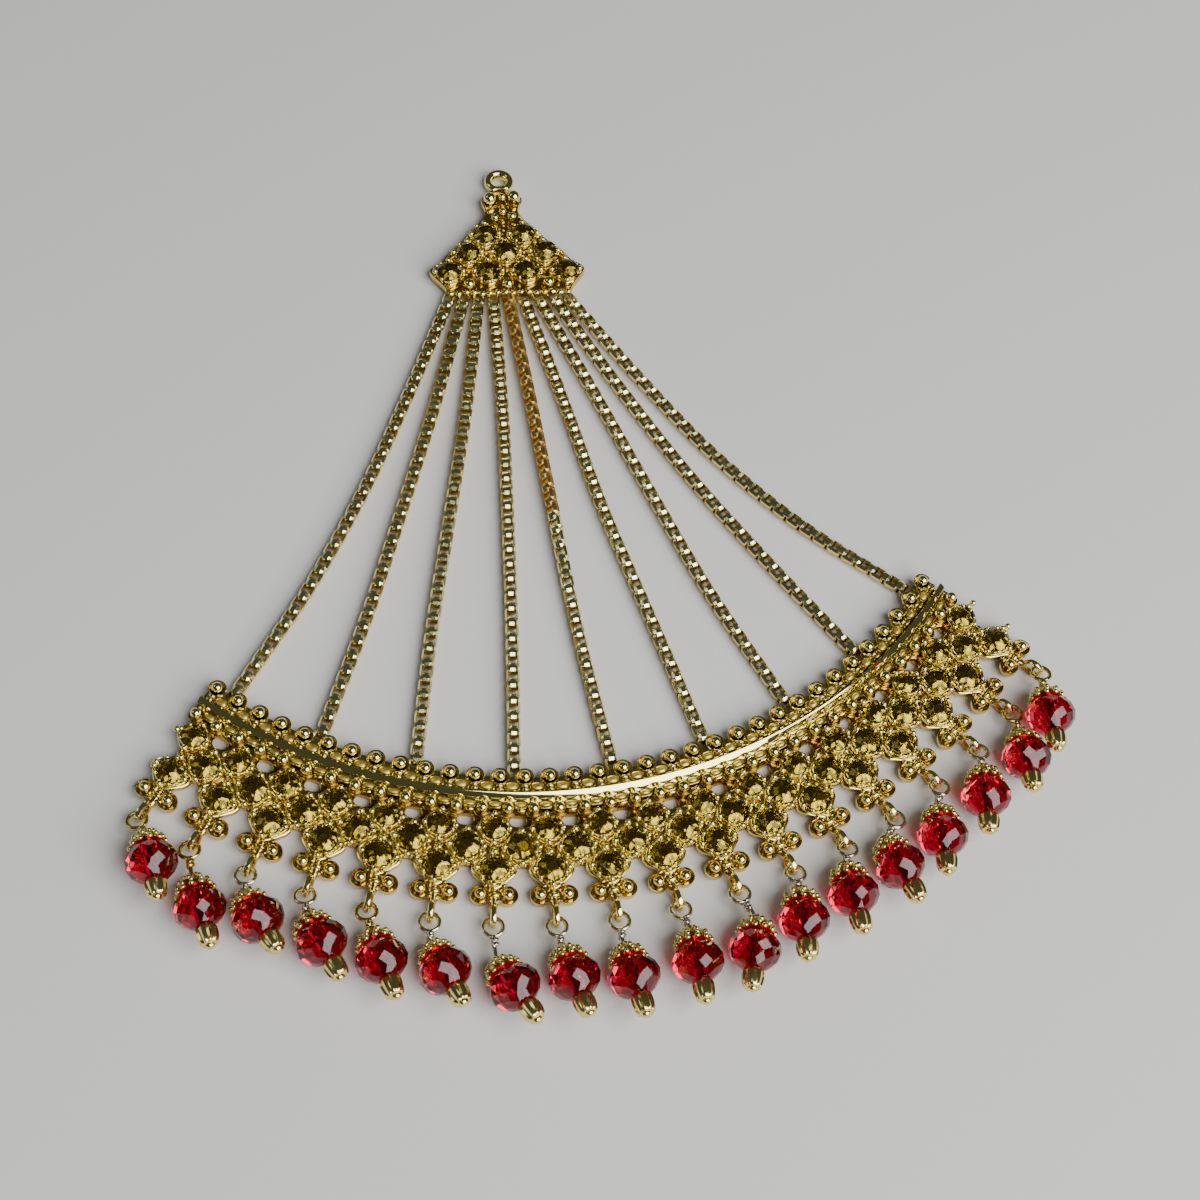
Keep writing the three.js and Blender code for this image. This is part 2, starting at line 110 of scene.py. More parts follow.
EYE_U, EYE_V, EYE_OUTER, EYE_INNER, EYE_HEIGHT = 0.1, 18.7, 2.02, 0.9, 1.5

# Stones: share of the radius, height, corners and phase of each ring, from table to foil.
STONE_RINGS = (
    (0.50, 0.42, 8, 0), (0.80, 0.24, 8, 0.5), (1, 0, 16, 0.25), (1, -0.12, 16, 0.25),
    (0.72, 0.10, 8, 0.85), (0.36, 0.30, 8, 0.4),
)
STONE_Z, STONE_SINKS, STONE_LEANS, STONE_TURNS = 2, 0.05, 13, 45

# Chains: a quarter of each loop as places along the chain and drops below its face.
CHAINS, LINK_PITCH, CHAIN_TUCK = 9, 1.02, (1.9, 1.5)
LINK_FACE = ((0.22, 0), (0.5, 0.16), (0.62, 0.36), (0.67, 0.5))
LINK_SIDE = ((0.56, 0), (0.78, 0.12), (0.85, 0.3))
CHAIN_TWISTED, TWIST, WARM_FROM = 5, 45, 5.0

# Drops: z runs along the pin, from the cap, below the bead's middle, to the end bead above it.
DROPS, GOLD_EYES = 18, (1, 2, 5, 17, 18)
BEAD_SIDES, BEAD_END, BORE = 10, 2.3, 0.55
BEAD_HEIGHTS, BEAD_SHARES = (0, 0.65, 1.2, 1.8, BEAD_END), (1, 0.951, 0.824, 0.601, 0.361)
CAP_RINGS = (  # balls, radius of the ring, z, radius of a ball, first angle
    (12, 2, -2.08, 0.31, 0), (11, 1.86, -2.62, 0.25, 15), (8, 1.56, -3.12, 0.33, 8),
    (5, 1.04, -3.6, 0.3, 0),
)
CAP_DOME = (  # radius, z
    (0, -4), (0.45, -4), (0.8, -3.8), (1.15, -3.5), (1.5, -3.1), (1.74, -2.65), (1.86, -2.15),
    (1.6, -2.08), (0.6, -2.34), (0, -2.34),
)
END_BARREL = (  # radius, z
    (0, 2.32), (0.85, 2.32), (1.08, 2.46), (1.22, 2.8), (1.24, 3.3), (1.18, 3.8), (1.07, 4.25),
    (0.96, 4.5), (0.8, 4.62), (0, 4.66),
)
GOLDEN_TURN = 137.5


# ---------------- shapes as arrays

def polar(radius, a, height=0.0):
    """Points about Z: (radius cos a, radius sin a, height)."""
    return np.stack(np.broadcast_arrays(radius * np.cos(a), radius * np.sin(a), height), -1)


def turn_steps(count, phase=0.0):
    """Even steps of a whole turn, in radians: (number + phase) / count of it."""
    return TAU * (np.arange(count) + phase) / count


def faces(*rows):
    """Faces from rows that give one number, or one array of numbers, for each corner."""
    return np.concatenate([np.stack(np.broadcast_arrays(*row), -1) for row in rows])


class Shape:
    """Vertices in millimetres with the quads, triangles and outline faces between them."""

    def __init__(self, points, quads=(), tris=(), outlines=()):
        self.points = np.asarray(points, float).reshape(-1, 3)
        self.quads = np.asarray(quads, int).reshape(-1, 4)
        self.tris = np.asarray(tris, int).reshape(-1, 3)
        self.outlines = [np.asarray(o, int) for o in outlines]


def together(*shapes):
    """Several shapes as one: points stacked, and face numbers moved on by the points before."""
    pairs = list(zip(shapes, np.cumsum([0] + [len(s.points) for s in shapes])))
    return Shape(
        np.concatenate([s.points for s in shapes]),
        np.concatenate([s.quads + n for s, n in pairs]),
        np.concatenate([s.tris + n for s, n in pairs]),
        [o + n for s, n in pairs for o in s.outlines],
    )


def copies(shape, frames):
    """A shape at each 4 x 4 frame: every point times every frame, faces moved on copy by copy."""
    frames = np.asarray(frames, float).reshape(-1, 4, 4)
    points = np.einsum("nij,pj->npi", frames[:, :3, :3], shape.points) + frames[:, None, :3, 3]
    shift = np.arange(len(frames))[:, None, None] * len(shape.points)
    outlines = [o + n * len(shape.points) for n in range(len(frames)) for o in shape.outlines]
    return Shape(points, shape.quads[None] + shift, shape.tris[None] + shift, outlines)


def unit(v):
    """A vector, or each row of an array, divided by its length."""
    return v / (np.linalg.norm(v) if v.ndim == 1 else np.linalg.norm(v, axis=1)[:, None])


def skin(grid, wrap_rows=False, wrap_columns=False):
    """Quads between neighbours of a (rows, columns, 3) grid, facing column step x row step."""
    rows, columns = grid.shape[:2]
    i = np.arange(rows if wrap_rows else rows - 1)[:, None]
    j = np.arange(columns if wrap_columns else columns - 1)[None, :]
    down, right = (i + 1) % rows, (j + 1) % columns
    upper, lower = i * columns, down * columns
    return Shape(grid, faces((upper + j, upper + right, lower + right, lower + j)))


def fan(shape, ring, tip, towards_tip):
    """Closes a ring of point numbers with triangles to one new point."""
    following = np.roll(ring, -1)
    pair = (ring, following) if towards_tip else (following, ring)
    tris = np.vstack([shape.tris, faces((len(shape.points), *pair))])
    return Shape(np.vstack([shape.points, tip]), shape.quads, tris, shape.outlines)


def turned(profile, sides, outline=None):
    """A profile of (radius, height) rows, from the axis below round the outside to the axis above,
    turned about Z. Outline, a function of the angle, multiplies the radius; a third number in every
    row says how much of it that row takes."""
    profile = np.asarray(profile, float)
    inner = profile[1:-1]
    a = turn_steps(sides)
    around = np.ones(sides) if outline is None else outline(a)
    share = inner[:, 2:3] if inner.shape[1] > 2 else 1.0
    radius = inner[:, :1] * (1 + share * (around - 1))
    shape = skin(polar(radius, a, inner[:, 1:2]), wrap_columns=True)
    first, last = np.arange(sides), np.arange(sides) + (len(inner) - 1) * sides
    shape = fan(shape, first, (0, 0, profile[0, 1]), False)
    return fan(shape, last, (0, 0, profile[-1, 1]), True)


def ball(sides=12, rings=7):
    """A unit sphere: a half circle turned about Z."""
    t = np.linspace(-math.pi / 2, math.pi / 2, rings + 2)
    return turned(np.stack([np.cos(t), np.sin(t)], -1), sides)


def ring_of(radius, gauge, around, section, flat=1.0):
    """A torus about Z: a section circle carried round a circle; flat multiplies its height."""
    a, b = turn_steps(around)[:, None], turn_steps(section)
    return skin(polar(radius + gauge * np.cos(b), a, gauge * flat * np.sin(b))[:, ::-1], True, True)


def swept(path, section, up=(0, 0, 1), closed=False, grow=1.0):
    """A section of (side, up) rows carried along a path: side is tangent x up, and up then side x
    tangent. Grow multiplies the section at each point. Open ends are closed by fans."""
    path = np.asarray(path, float)
    section = np.asarray(section, float)
    step = np.roll(path, -1, 0) - np.roll(path, 1, 0) if closed else np.gradient(path, axis=0)
    tangent = unit(step)
    side = unit(np.cross(tangent, np.broadcast_to(np.asarray(up, float), path.shape)))
    upright = np.cross(side, tangent)
    size = np.broadcast_to(np.asarray(grow, float), len(path))
    along = section[None, ::-1, :] * size[:, None, None]
    grid = path[:, None] + along[..., :1] * side[:, None] + along[..., 1:] * upright[:, None]
    shape = skin(grid, closed, True)
    if closed:
        return shape
    count = len(section)
    shape = fan(shape, np.arange(count), grid[0].mean(0), False)
    return fan(shape, np.arange(count) + (len(path) - 1) * count, grid[-1].mean(0), True)


def circle(radius, sides):
    """The points of a flat circle, at even steps."""
    return polar(radius, turn_steps(sides))[:, :2]


def wire(path, radius, sides=6, up=(0, 0, 1), closed=False):
    """A round wire: a circle carried along a path."""
    return swept(path, circle(radius, sides), up, closed)


def box_section(half_width, bottom, top, bevel):
    """A rectangle, its two upper corners quarter circles of three points, anticlockwise."""
    right = polar(bevel, np.radians([0, 45, 90]))[:, :2] + (half_width - bevel, top - bevel)
    return np.vstack([[-half_width, bottom], [half_width, bottom], right, right[::-1] * (-1, 1)])


def smooth_line(points, count):
    """A Catmull-Rom curve through the points, at evenly spaced parameters."""
    p = np.asarray(points, float)
    p = np.vstack([2 * p[0] - p[1], p, 2 * p[-1] - p[-2]])
    spans = len(p) - 3
    t = np.linspace(0, spans, count)
    i = np.minimum(t.astype(int), spans - 1)
    f = (t - i)[:, None]
    a, b, c, d = p[i], p[i + 1], p[i + 2], p[i + 3]
    square, cube = 2 * a - 5 * b + 4 * c - d, 3 * b - a - 3 * c + d
    return 0.5 * (2 * b + (c - a) * f + square * f**2 + cube * f**3)


def ripple(*values):
    """A repeatable scatter from -1 to 1: the fractional part of a large sine of the numbers."""
    mix = sum(np.asarray(v, float) * k for v, k in zip(values, (12.9898, 78.233, 37.719)))
    return 2 * np.modf(np.abs(np.sin(mix) * 43758.5453))[0] - 1


def rounded_outline(points):
    """Corner cutting, twice: each side gives its points at a quarter and three quarters."""
    p = np.asarray(points, float)
    for _ in range(2):
        q = np.roll(p, -1, 0)
        p = np.stack([0.75 * p + 0.25 * q, 0.25 * p + 0.75 * q], 1).reshape(-1, 2)
    return p


def rounded_diamond(power=1.5):
    """Outline of a square on its corner with soft corners: (|cos a|^p + |sin a|^p)^(-1/p)."""
    return lambda a: (np.abs(np.cos(a)) ** power + np.abs(np.sin(a)) ** power) ** (-1 / power)


def slab(outline, profile):
    """A plate: an anticlockwise outline, moved in along its normals by each row's inset."""
    tangent = unit(np.roll(outline, -1, 0) - np.roll(outline, 1, 0))
    inward = np.stack([-tangent[:, 1], tangent[:, 0]], -1)
    count = len(outline)
    rows = [np.column_stack([outline + inward * inset, np.full(count, z)]) for inset, z in profile]
    shape = skin(np.array(rows), False, True)
    bottom, top = np.arange(count)[::-1], np.arange(count) + (len(rows) - 1) * count
    return Shape(shape.points, shape.quads, shape.tris, [bottom, top])


# ---------------- frames

def on_arc(radius, degrees, across=0.0):
    """Points at a radius and angle about the arcs' centre, moved sideways by across."""
    radius, a = np.asarray(radius, float), np.radians(np.asarray(degrees, float))
    x = radius * np.sin(a) + across * np.cos(a) + ARC_CENTRE[0]
    y = -radius * np.cos(a) + across * np.sin(a) + ARC_CENTRE[1]
    return x, y


def frames_at(x, y, z, turn=0, scale=(1, 1, 1), tilt=None):
    """4 x 4 frames at the points: scaled, tilted about X and Y, then turned about Z, in degrees. A
    column of scales gives each its own size, and a single one the same to all."""
    rows = (np.atleast_1d(np.asarray(v, float)) for v in (x, y, z, turn))
    x, y, z, turn = np.broadcast_arrays(*rows)
    a = np.radians(turn)
    zero, one = np.zeros_like(a), np.ones_like(a)
    spin = np.stack([np.cos(a), -np.sin(a), zero, np.sin(a), np.cos(a), zero, zero, zero, one], -1)
    spin = spin.reshape(-1, 3, 3)
    if tilt is not None:
        p, q = np.radians(np.broadcast_arrays(*(np.atleast_1d(t) for t in tilt), a)[:2])
        lean = np.stack([one, zero, q, zero, one, -p, -q, p, one], -1).reshape(-1, 3, 3)
        spin = spin @ lean
    frames = np.zeros((len(a), 4, 4))
    frames[:, :3, :3] = spin * np.broadcast_to(np.asarray(scale, float), (len(a), 3))[:, None, :]
    frames[:, :3, 3] = np.stack([x, y, z], -1)
    frames[:, 3, 3] = 1
    return frames


def arc_path(radius, reach, steps):
    """A path along an arc of the crescent, as far to each side as reach, at height zero."""
    x, y = on_arc(radius, np.linspace(-reach, reach, steps))
    return np.stack([x, y, np.zeros_like(x)], -1)


def arc_frames(radius, degrees, z=0.0, across=0.0, spin=0.0, **more):
    """Frames on the crescent whose Y points at the arcs' centre."""
    x, y = on_arc(radius, degrees, across)
    return frames_at(x, y, z, np.asarray(degrees, float) + spin, **more)


def spread(shape, *place, **more):
    """A shape repeated at frames on the crescent."""
    return copies(shape, arc_frames(*place, **more))


def head_frames(u, v, z=0.0, **more):
    """Frames on the top plate: its origin + u (cos t, sin t) + v (-sin t, cos t), t its turn."""
    a = math.radians(HEAD_TURN)
    u, v = np.asarray(u, float), np.asarray(v, float)
    x = HEAD_ORIGIN[0] + u * math.cos(a) - v * math.sin(a)
    y = HEAD_ORIGIN[1] + u * math.sin(a) + v * math.cos(a)
    return frames_at(x, y, z, HEAD_TURN, **more)


def set_frame(right, up, ahead, middle):
    """One 4 x 4 frame from its three axes and its origin."""
    made = np.eye(4)
    made[:3, 0], made[:3, 1], made[:3, 2], made[:3, 3] = right, up, ahead, middle
    return made


def spaced(count, pitch):
    """Places a pitch apart, centred on zero."""
    return (np.arange(count) - (count - 1) / 2) * pitch


def between(places):
    """The middles between neighbours."""
    return (places[1:] + places[:-1]) / 2


def top_rail_angles():
    """The top rail's balls stand a little wider apart at the ends, by a cube of their number, and
    the middle ones a little to the left, by a parabola."""
    k = spaced(TOP_RAIL_COUNT, 1.0)
    return TOP_RAIL_PITCH * k + TOP_RAIL_WIDENS * k**3 - TOP_RAIL_LEANS * (1 - (k / k[-1]) ** 2)


TREFOIL_ANGLES = spaced(TREFOILS, TREFOIL_PITCH)
TOP_ANGLES = top_rail_angles()
LOW_ANGLES = spaced(LOW_RAIL_COUNT, LOW_RAIL_PITCH)
HOLE_ANGLES = spaced(TREFOILS - 1, HOLE_PITCH)


def setting_frames():
    """Frames of all the settings, row by row: the crescent's, then the top plate's."""
    counts = (TREFOILS, TREFOILS - 1, TREFOILS)
    angles = [spaced(count, pitch) for count, pitch in zip(counts, ROW_PITCH)]
    u = np.concatenate([us for _, us in HEAD_ROWS])
    v = np.concatenate([np.full(len(us), v) for v, us in HEAD_ROWS])
    return arc_frames(np.repeat(ROW_R, counts), np.concatenate(angles)), head_frames(u, v)


# ---------------- meshes and materials

def placed(name, data):
    """A new object with this data, in the scene."""
    thing = bpy.data.objects.new(name, data)
    bpy.context.scene.collection.objects.link(thing)
    return thing


def piece(name, shape, materials, smooth, face_material=None, replaces=()):
    """A mesh object from a shape, in metres, riding on the part; edges sharper than smooth degrees
    stay crisp, and zero leaves every face flat."""
    mesh = bpy.data.meshes.new(name)
    sizes = [4] * len(shape.quads) + [3] * len(shape.tris) + [len(o) for o in shape.outlines]
    loops = np.concatenate([shape.quads.ravel(), shape.tris.ravel(), *shape.outlines]).astype(int)
    mesh.vertices.add(len(shape.points))
    mesh.vertices.foreach_set("co", (shape.points * MM).ravel())
    mesh.loops.add(len(loops))
    mesh.loops.foreach_set("vertex_index", loops)
    mesh.polygons.add(len(sizes))
    mesh.polygons.foreach_set("loop_start", np.cumsum([0] + sizes[:-1]))
    mesh.polygons.foreach_set("loop_total", sizes)
    for material in materials:
        mesh.materials.append(material)
    if face_material is not None:
        mesh.polygons.foreach_set("material_index", np.asarray(face_material, np.int32))
    mesh.update(calc_edges=True)
    mesh.validate()
    mesh.polygons.foreach_set("use_smooth", np.full(len(mesh.polygons), smooth > 0))
    if smooth > 0:
        mesh.set_sharp_from_angle(angle=math.radians(smooth))
    thing = placed(name, mesh)
    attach(thing, BODY)
    if replaces:
        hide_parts(*replaces)


def feed(tree, made, feeds):
    """Gives each named input of a node its value, or the output of another node."""
    for key, source in feeds.items():
        if isinstance(source, bpy.types.NodeSocket):
            tree.links.new(source, made.inputs[key])
        else:
            made.inputs[key].default_value = source


def node(tree, kind, feeds, **settings):
    """The first enabled output of a new node with these settings and inputs."""
    made = tree.nodes.new("ShaderNode" + kind)
    for key, value in settings.items():
        setattr(made, key, value)
    feed(tree, made, feeds)
    return next((output for output in made.outputs if output.enabled), None)


def mixed(tree, first, second, share):
    """A colour between two: first + share * (second - first)."""
    return node(tree, "Mix", {"A": (*first, 1), "B": (*second, 1), "Factor": share}, data_type="RGBA")


def noise(tree, place, scale, detail):
    """Smooth noise from 0 to 1."""
    return node(tree, "TexNoise", {"Vector": place, "Scale": scale, "Detail": detail})


def blank(name):
    """A material with only its shader and output, and the object coordinates that patterns read."""
    material = bpy.data.materials.get(name) or bpy.data.materials.new(name)
    material.use_nodes = True
    tree = material.node_tree
    tree.nodes.clear()
    shader = tree.nodes.new("ShaderNodeBsdfPrincipled")
    node(tree, "OutputMaterial", {"Surface": shader.outputs["BSDF"]})
    coordinates = tree.nodes.new("ShaderNodeTexCoord")
    return material, tree, shader, coordinates.outputs["Object"]


def metal(name, colour, deep, rough, dent=0.00001, depth=(0.0013, 0.0019)):
    """Plated metal: deep colour low in the relief, which paints shade into the recesses where it is
    darker than the raised colour, a slow drift, uneven polish and a fine cast ripple. The share of the
    raised colour is the height between the two depths + 0.7 noise - 0.3, kept from 0 to 1. Dent is the
    ripple's depth in metres."""
    drift_share, drift_middle, ripple_strength = 0.7, 0.3, 0.35
    material, tree, shader, place = blank(name)
    split = tree.nodes.new("ShaderNodeSeparateXYZ")
    feed(tree, split, {0: place})
    low, high = depth
    feeds = {"Value": split.outputs["Z"], "From Min": low, "From Max": high}
    height = node(tree, "MapRange", feeds)
    drift = noise(tree, place, 260.0, 3.0)
    lift = node(tree, "Math", {0: drift, 1: drift_share, 2: height}, operation="MULTIPLY_ADD")
    share = node(tree, "Math", {0: lift, 1: drift_middle}, operation="SUBTRACT", use_clamp=True)
    waves = noise(tree, place, 500.0, 2.0)
    haze = node(tree, "MapRange", {"Value": waves, "To Min": 0.55 * rough, "To Max": 1.6 * rough})
    bump = node(tree, "Bump", {"Height": waves, "Strength": ripple_strength, "Distance": dent})
    # The deep colour low in the relief is painted shade wherever it is darker than the raised colour.
    base = mixed(tree, deep, colour, share)
    feed(tree, shader, {"Base Color": base, "Roughness": haze, "Normal": bump, "Metallic": 1.0})
    return material


def glass(name, colour, index, tint=(1, 1, 1), cloud=0.25):
    """Clear coloured glass whose colour drifts through the piece, down to (1 - cloud) of itself."""
    material, tree, shader, place = blank(name)
    drift = noise(tree, place, 320.0, 2.0)
    feed(tree, shader, {
        "Base Color": mixed(tree, [c * (1 - cloud) for c in colour], colour, drift),
        "Transmission Weight": 1.0, "IOR": index, "Specular Tint": (*tint, 1), "Roughness": 0.0,
    })
    return material


# ---------------- settings of the add-on

def colour(name, description, *default):
    """A colour setting."""
    return FloatVectorProperty(
        name=name, description="Colour of the " + description, subtype="COLOR", default=default
    )


def measure(name, description, default, kind="LENGTH"):
    """A setting with a unit, in metres or watts."""
    return FloatProperty(name=name, description=description, default=default, unit=kind)


class JhoomarFinish(PropertyGroup):
    gold: colour("Gold", "raised polished plating", 0.96, 0.85, 0.34)
    # Painted shade: the darker colour that castings and findings take low in their relief, standing in
    # for shade in the recesses.
    painted_recess_shade: colour("Painted recess shade", "painted shade low in the relief", 0.52, 0.31, 0.06)
    tile: colour("Rail tile", "satin squares of the rails", 1.0, 0.80, 0.24)
    chain_gold: colour("Chain gold", "box chains", 0.94, 0.90, 0.48)
    # Painted shade: the darker colour low down in the chains, between and under their links.
    chain_painted_shade: colour("Chain painted shade", "painted shade low between the chains' links", 0.66, 0.45, 0.13)
    # The warm colour also serves as painted shade low on the end beads.
    warm: colour("Warm chain", "twisted chain's upper half", 0.80, 0.55, 0.18)
    # Painted shade: a dark colour for the domes under the cap granules and the dishes under the lower
    # rail's balls, where the real piece shows only shade.
    painted_shade_colour: colour("Cap painted shade", "painted shade under the cap granules and rail balls", 0.42, 0.29, 0.09)
    pale: colour("Worn wire", "eye wires whose plating is thin", 0.84, 0.80, 0.70)
    ruby: colour("Red glass", "faceted beads", 0.68, 0.003, 0.042)
    champagne: colour("Stone", "faceted stones", 0.96, 0.86, 0.46)
    foil: colour("Stone foil", "foil behind the stones", 0.37, 0.28, 0.045)
    polish: FloatProperty(
        name="Roughness", description="Roughness of the castings", default=0.14, min=0.02, max=0.6
    )


class JhoomarSizes(PropertyGroup):
    rail_ball: measure("Rail ball", "Radius of the balls on the crescent", 0.00064)
    stone: measure("Stone", "Girdle radius of a stone", 0.00155)
    collet: measure("Collet", "Half diagonal of a setting", 0.00222)
    link: measure("Link", "Outside width of a box link", 0.00156)
    strip: measure("Link strip", "Thickness of the bent strip of a link", 0.0002)
    bead: measure("Bead", "Girdle radius of a red bead", 0.00292)


class JhoomarStage(PropertyGroup):
    floor: colour("Floor", "floor", 0.76, 0.755, 0.74)
    key: measure("Key light", "Power of the front softbox", 10.5, "POWER")
    fill: measure("Side light", "Power of the light at the side", 0.4, "POWER")


def finishes():
    """Every material of the ornament, by the maker's name for it."""
    look = bpy.context.scene.jhoomar_finish
    return {
        # The castings take the painted recess shade low in their relief.
        "cast": metal("cast gold", look.gold, look.painted_recess_shade, look.polish, 0.000003, (0.0009, 0.0019)),
        "tile": metal("rail tile gold", look.tile, look.tile, 0.4, 0.000004),
        "polished": metal("polished gold", look.gold, look.gold, 0.07, 0.000006),
        # Both chain finishes take the painted shade low down, between their links.
        "chain": metal("chain gold", look.chain_gold, look.chain_painted_shade, 0.16, depth=(0.0006, 0.0015)),
        "warm": metal("warm chain gold", look.warm, look.chain_painted_shade, 0.3, depth=(0.0004, 0.0012)),
        # The findings take the painted recess shade low down.
        "finding": metal("finding gold", look.gold, look.painted_recess_shade, 0.13, depth=(0.0, 0.003)),
        # The end beads take the warm colour low down, as painted shade darker towards the floor.
        "end": metal("end bead gold", look.gold, look.warm, 0.18, depth=(0.002, 0.006)),
        # Painted shade, for the cap domes and the rail-ball dishes.
        "painted_shade": metal("cap ground", look.painted_shade_colour, look.painted_shade_colour, 0.2),
        "pale": metal("worn wire", look.pale, look.chain_gold, 0.16),
        "ruby": glass("ruby glass", look.ruby, 1.55),
        "stone": glass("champagne stone", look.champagne, 1.7, (1.0, 0.80, 0.18), 0.12),
        "foil": metal("stone foil", look.foil, look.foil, 0.17),
        "grain": metal("grain gold", look.gold, look.gold, 0.16, 0.000003),
    }


# ---------------- crescent and top plate

def arc_band(inner, outer, bottom, top, reach):
    """A bevelled rectangle carried along an arc from one end of the crescent to the other."""
    bevel, steps = 0.15, 150
    section = box_section((outer - inner) / 2, bottom, top, bevel)
    return swept(arc_path((inner + outer) / 2, reach, steps), section)


def collet(half, lift=0):
    """A setting: a tapering diamond wall with a wire-round lip, and inside it a round bezel over a
    sunk floor. Rows are radius, height and share of the diamond."""
    lip_wire, lip_z = 0.17, 1.6 + lift
    lip_mean = half - lip_wire
    bend = np.radians([-50, -10, 30, 70, 110, 150])
    lip = [(lip_mean + lip_wire * math.cos(t), lip_z + lip_wire * math.sin(t), 1) for t in bend]
    wall = [(0, 0.05, 1), (half - 0.55, 0.05, 1), (half - 0.16, 0.7, 1)]
    bezel = [
        (half - 0.42, 1.4 + lift, 1), (1.76, 1.5 + lift, 0.2), (1.74, 1.9 + lift, 0),
        (1.66, 2.0 + lift, 0), (1.54, 1.97 + lift, 0), (1.45, 1.6 + lift, 0),
        (1, 0.95, 0), (0, 0.8, 0),
    ]
    return turned([*wall, *lip, *bezel], 32, rounded_diamond())


def claws(half, grains, lift=0.0):
    """Beads round a stone: fine grains on the bezel, and a larger bead at each corner."""
    bezel, fine_size, claw_size, inset = 1.66, 0.23, 0.36, 0.3
    a = turn_steps(grains, 0.5)
    size = fine_size * (1 + 0.3 * ripple(np.arange(grains), grains))
    fine = frames_at(*polar(bezel, a, 2.04 + lift).T, scale=size[:, None])
    b = np.radians([0, 90, 180, 270])
    large = frames_at(*polar(half - inset, b, 2.0 + lift).T, scale=claw_size)
    return together(copies(ball(6, 3), fine), copies(ball(9, 5), large))


def lobe(radius, rim_top, floor):
    """A round pad on a drawn-in foot, with a thin raised rim and a sunk floor for a ball."""
    return turned([
        (0, 0.05), (radius - 0.45, 0.05), (radius - 0.06, 0.75), (radius, rim_top - 0.14),
        (radius - 0.05, rim_top), (radius - 0.13, rim_top), (radius - 0.18, rim_top - 0.14),
        (radius - 0.3, floor), (0, floor),
    ], 22)


def cell(width, height, floor):
    """The wire frame of a rail cell, with soft corners."""
    u, v = width / 2, height / 2
    outline = rounded_outline([(-u, -v), (u, -v), (u, v), (-u, v)])
    return wire(np.column_stack([outline, np.full(len(outline), floor + 0.28)]), 0.13, closed=True)


def rail_tiles():
    """The low domed squares that fill the cells of both rails."""
    profile = [(0, -0.3), (0.62, -0.3), (0.62, 0.02), (0.5, 0.16), (0.28, 0.27), (0, 0.31)]
    tile = turned(profile, 12, rounded_diamond(4))
    return together(
        spread(tile, TOP_CELL_R, between(TOP_ANGLES), 1.45, scale=(1.1, 0.72, 1)),
        spread(tile, LOW_CELL_R, between(LOW_ANGLES), 1.5, scale=(1.06, 0.55, 1)),
    )


def ball_grounds():
    """Shallow dishes of painted shade in which the lower rail's balls sit, darkening the ring round
    each ball.
    """
    dish = turned([(0, 0), (0.84, 0), (0.86, 0.1), (0.74, 0.12), (0.5, 0.04), (0, 0.02)], 18)
    return spread(dish, LOW_RAIL_R, LOW_ANGLES, 1.6)


def top_rail():
    """The ball rail where the chains arrive: pads, raised rims and dashes, and a cell between each
    two balls."""
    t = np.radians(np.linspace(-35, 215, 14))
    rim = wire(polar(0.97, t, 1.84), 0.12)
    dash = copies(ball(8, 4), frames_at([0, 0.05], [-1.02, -1.5], 1.66, scale=(0.42, 0.2, 0.22)))
    pad = together(lobe(0.93, 1.72, 1.42), rim, dash)
    cells = spread(cell(1.5, 1.0, 1.45), TOP_CELL_R, between(TOP_ANGLES))
    return together(spread(pad, TOP_RAIL_R, TOP_ANGLES), cells)


def low_rail():
    """Pads of the lower balls, a cell between each two, two grains at each ball, and a dash above
    every opening."""
    grain = frames_at([-0.22, 0.25], 0.98, 1.72, scale=(0.22, 0.19, 0.19))
    dash = arc_frames(LOW_RAIL_R + 0.16, HOLE_ANGLES, 1.8, scale=(0.5, 0.19, 0.17))
    return together(
        spread(lobe(0.92, 1.6, 1.2), LOW_RAIL_R, LOW_ANGLES),
        spread(cell(1.45, 0.72, 1.5), LOW_CELL_R, between(LOW_ANGLES)),
        spread(copies(ball(7, 4), grain), LOW_RAIL_R, LOW_ANGLES),
        copies(ball(8, 4), dash),
    )


def scrolls():
    """Curled wires and grains in the recesses between settings of one row: each curl is a spiral
    whose radius falls and whose height rises with its turn t."""
    t = np.linspace(0, 0.8, 10)
    r = 0.6 - 0.25 * t
    curl = wire(polar(r, TAU * t, 1.4 + 0.3 * t), 0.12, 5)
    grains = np.array([  # across, along, height, size
        (0.3, -0.25, 1.55, 0.2), (-0.3, -0.2, 1.5, 0.24), (0, 0.35, 1.6, 0.18),
        (0.75, 0.3, 1.6, 0.2), (-0.75, 0.2, 1.62, 0.22),
    ])
    one = together(curl, copies(ball(6, 3), frames_at(*grains[:, :3].T, scale=grains[:, 3:])))
    frames = [
        arc_frames(ROW_R[0] + 0.85, spaced(TREFOILS - 1, ROW_PITCH[0]), -0.05),
        arc_frames(ROW_R[1], spaced(TREFOILS, ROW_PITCH[1]), 0.05, spin=90),
        arc_frames(ROW_R[2] - 0.9, spaced(TREFOILS - 1, ROW_PITCH[2]), -0.05, spin=180),
    ]
    return copies(one, np.concatenate(frames))


def edge_lip():
    """The plate under an outermost setting: a wide diamond with a wire-round rim, touching its
    neighbours' corners."""
    corner = (
        (0, -2.4), (0.75, -2.15), (3.12, 0.15), (0.6, 2.2), (-0.6, 2.2), (-3.12, 0.15),
        (-0.75, -2.15),
    )
    rim = (  # inset, height
        (0.5, 0.03), (0.06, 0.75), (0, 1.32), (0.05, 1.46), (0.16, 1.52), (0.28, 1.46), (0.34, 1.15),
    )
    return slab(rounded_outline(corner), rim)


